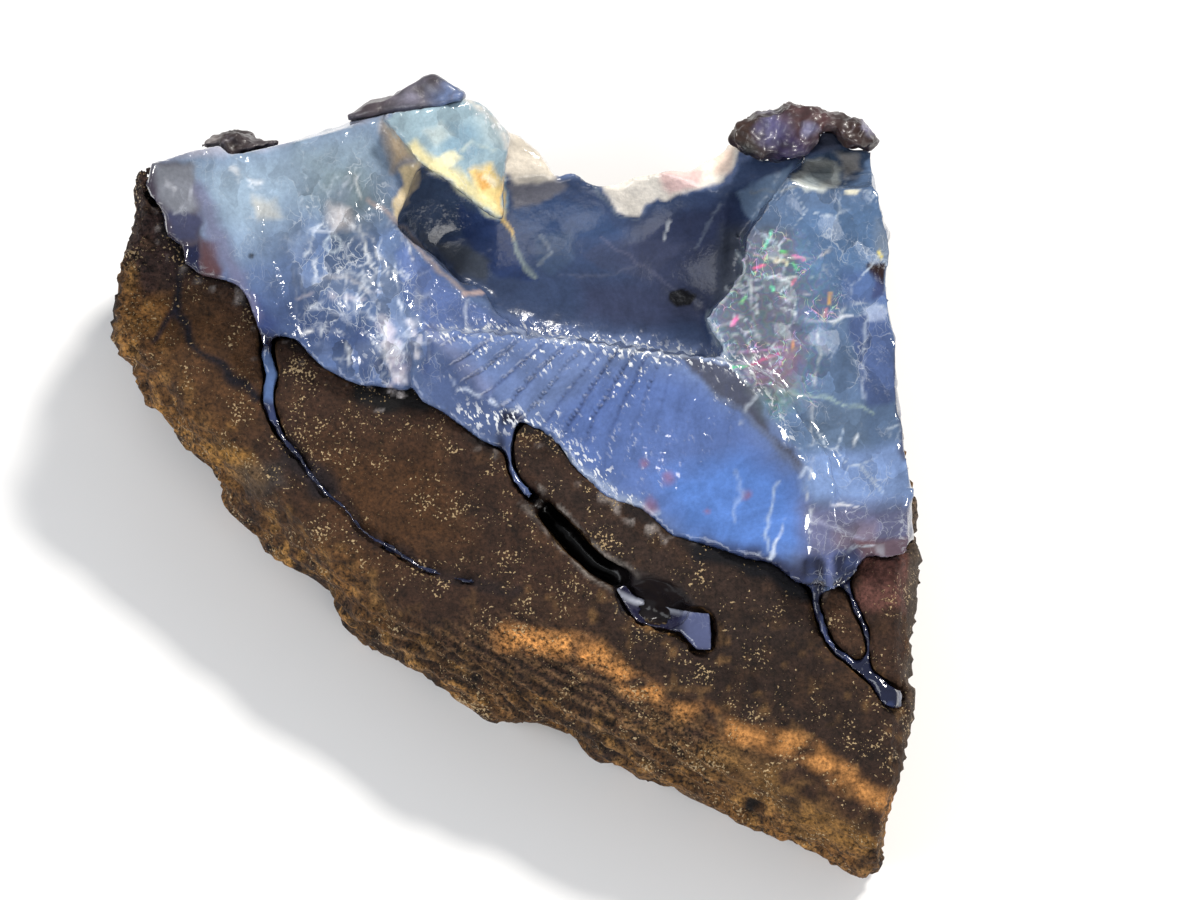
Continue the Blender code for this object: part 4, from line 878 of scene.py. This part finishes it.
# Painted shading: each small facet cell is lighter or darker at random, as tilted facets catch the light, and
# the same value lifts the bump.
facet_shade_and_relief = maths(tree, "MULTIPLY", maths(tree, "SUBTRACT", inner["Facet"], 0.45), marks["Red"])
shade = maths(tree, "MULTIPLY", shade, maths(tree, "MULTIPLY_ADD", facet_shade_and_relief, 0.9, 1.0))
mist = maths(tree, "MULTIPLY_ADD", maths(tree, "SUBTRACT", inner["Grit"], 0.5), 0.5, 1.0)
body = mixed(tree, 1.0, colour, grey(tree, maths(tree, "MULTIPLY", shade, mist)), "MULTIPLY")
flash = maths(tree, "MULTIPLY", marks["Green"], maths(tree, "MULTIPLY_ADD", inner["Threads"], 0.55, 0.04))
body = mixed(tree, maths(tree, "MULTIPLY", inner["Threads"], maths(tree, "MULTIPLY", marks["Red"], 0.7)),
    body, (*linear((216, 222, 230)), 1))
body = mixed(tree, flash, body, inner["Rainbow"])
# Painted highlights: the glint marks mix near-white into the base colour.
glints = maths(tree, "MULTIPLY", inner["Glint"], marks["Blue"])
body = mixed(tree, glints, body, (*linear((246, 249, 252)), 1))
tree.links.new(body, shader.inputs["Base Color"])
tree.links.new(maths(tree, "MULTIPLY_ADD", finish["Red"], 0.14, 0.08), shader.inputs["Roughness"])
tree.links.new(maths(tree, "MULTIPLY_ADD", finish["Red"], -0.62, 0.62), shader.inputs["Coat Weight"])
relief = maths(tree, "MULTIPLY_ADD", glints, 0.6, maths(tree, "MULTIPLY_ADD", facet_shade_and_relief, 0.8, inner["Ripple"]))
relief = maths(tree, "MULTIPLY", relief, maths(tree, "MULTIPLY_ADD", finish["Red"], -0.6, 1.0))
bumped(tree, shader, relief, 0.45, 0.0004)
opal.data.materials.append(blue_opal)
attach(opal, "root")
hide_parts("opal_seam")


# Pocket opal
# A lens of lavender potch in the floor of the small open pocket, with a thin pale line along its upper edge.
potch = refined("pocket_opal", 0.2, 1)
places = read(potch) / MM
spots = seen(places)
raised(potch, 0.25 * (scoops(places, 2.2, 51) - 0.4) + 0.05)
tint = np.tile(linear((38, 38, 64)), (len(places), 1))
wash(tint, blotches(places, 2.4, 52, 1.4), (26, 28, 52))
wash(tint, near(spots, [(61.4, 31), (63.4, 30), (66, 29.3), (68.8, 28.9)], 0.6, 0.4), (168, 172, 186))
wash(tint, within(spots, [(68, 29.2), (71.5, 29.2), (71.5, 24.8), (68.4, 25.4)], 1.0) * 0.8, (78, 86, 122))
keep(potch, "tint", tint)
potch_opal, tree, shader = material("potch",
    {"IOR": 1.45, "Transmission Weight": 0.15, "Coat Weight": 0.6, "Coat Roughness": 0.05})
inner = add(tree, "Group", node_tree=milk).outputs
colour = painted(tree, "tint")
shade = scaled(tree, inner["Cloud"], 0.75, 1.25)
body = mixed(tree, 1.0, colour, grey(tree, shade), "MULTIPLY")
body = mixed(tree, maths(tree, "MULTIPLY", inner["Threads"], 0.3), body, (*linear((190, 196, 214)), 1))
tree.links.new(body, shader.inputs["Base Color"])
tree.links.new(scaled(tree, inner["Ripple"], 0.08, 0.24, 0.0, 1.0), shader.inputs["Roughness"])
bumped(tree, shader, inner["Ripple"], 0.3, 0.0003)
potch.data.materials.append(potch_opal)
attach(potch, "root")
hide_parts("pocket_opal")


# Crust patches
# Three patches of brown crust left on the back of the opal: a knob on the left, a smooth grey wedge at the
# peak and a lumpy knob on the right. Each has grown onto the seam, and its skin is worn to a satin shine.
crust, tree, shader = material("crust", {"Coat Weight": 0.25, "Coat Roughness": 0.15})
sand = add(tree, "Group", node_tree=grain).outputs
colour = painted(tree, "tint")
shade = scaled(tree, sand["Mottle"], 0.4, 1.1)
body = mixed(tree, 1.0, colour, grey(tree, shade), "MULTIPLY")
tree.links.new(body, shader.inputs["Base Color"])
tree.links.new(scaled(tree, sand["Mottle"], 0.25, 0.6, 0.0, 1.0), shader.inputs["Roughness"])
bumped(tree, shader, sand["Mottle"], 0.5, 0.0004)
# Each patch: its node, roughness and colour, the edge where it meets the opal, and spots of other colours,
# one of them a painted shadow.
CRUSTS = (
    ("left_knob", 0.9, (70, 54, 54), [(20, 75), (22.3, 75.4), (23.2, 74.4), (25.4, 74.7), (28.4, 75.4)],
     ((23.5, 76.3), 1.6, (46, 32, 32)), ((26.5, 75.5), 2.0, (72, 62, 66)),
         ((21.6, 75.6), 0.8, (120, 110, 108))),
    ("rear_wedge", 0.25, (98, 94, 106), [(34.4, 77.6), (38.6, 78.5), (41, 78.8), (44, 79.3), (46.7, 80)],
     ((37.4, 79.2), 2.0, (76, 66, 72)), ((45.2, 80.4), 1.9, (100, 118, 158)),
         ((43.4, 81.6), 1.2, (84, 80, 92)),
     ((41, 79.4), 0.9, (120, 116, 132))),
    ("right_knob", 1.0, (48, 33, 34),
        [(73, 75.7), (74.3, 74.8), (76, 74), (78, 73.9), (80.1, 74.3), (81.2, 75.2),
                                       (81.9, 76.7), (83.5, 76.7), (84.5, 75.3), (86.6, 75), (87.4, 75.5)],
     # The near-black spot at (74.6, 74.8) is painted shadow under the right knob's rust lump.
     ((74.4, 76.4), 1.8, (54, 28, 15)), ((74.6, 74.8), 1.0, (14, 9, 7)), ((77.2, 76.8), 1.5, (96, 92, 132)),
     ((79.2, 75), 1.9, (46, 34, 72)), ((80.8, 78.2), 2.3, (74, 44, 46)),
         ((80.4, 76.9), 0.7, (128, 126, 160)),
     ((84.8, 76.4), 1.8, (46, 20, 13)), ((86.6, 77), 0.7, (134, 130, 156))),
)
for node, rough, base, edge, *spreads in CRUSTS:
    patch = refined(node, 0.22, 2)
    places = read(patch) / MM
    spots = seen(places)
    ragged = spots + np.stack([noise(places, 1.2, 61), noise(places, 1.2, 62)], axis=1) * 0.5
    shell, ridge = shells(places, 1.3, 64)
    lumps = rough * (noise(places, 1.7, 63) * 0.45 + shell * 0.6 + noise(places, 0.7, 66) * 0.25 - 0.5)
    raised(patch, np.minimum(lumps, 0.2) + 0.42 * near(spots, edge, 1.2, 0.5))
    tint = np.tile(linear(base), (len(places), 1))
    for middle, reach, paint in spreads:
        wash(tint, held(1.5 - np.hypot(*(ragged - np.array(middle)).T) / reach), paint)
    wash(tint, blotches(places, 1.0, 65, 1.4, -0.4) * 0.6, (36, 24, 22))
    wash(tint, held(1 - ridge / 0.08) * blotches(places, 1.6, 67, 2, -0.2) * 0.3, (140, 132, 146))
    keep(patch, "tint", tint)
    patch.data.materials.append(crust)
    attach(patch, "root")
    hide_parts(node)
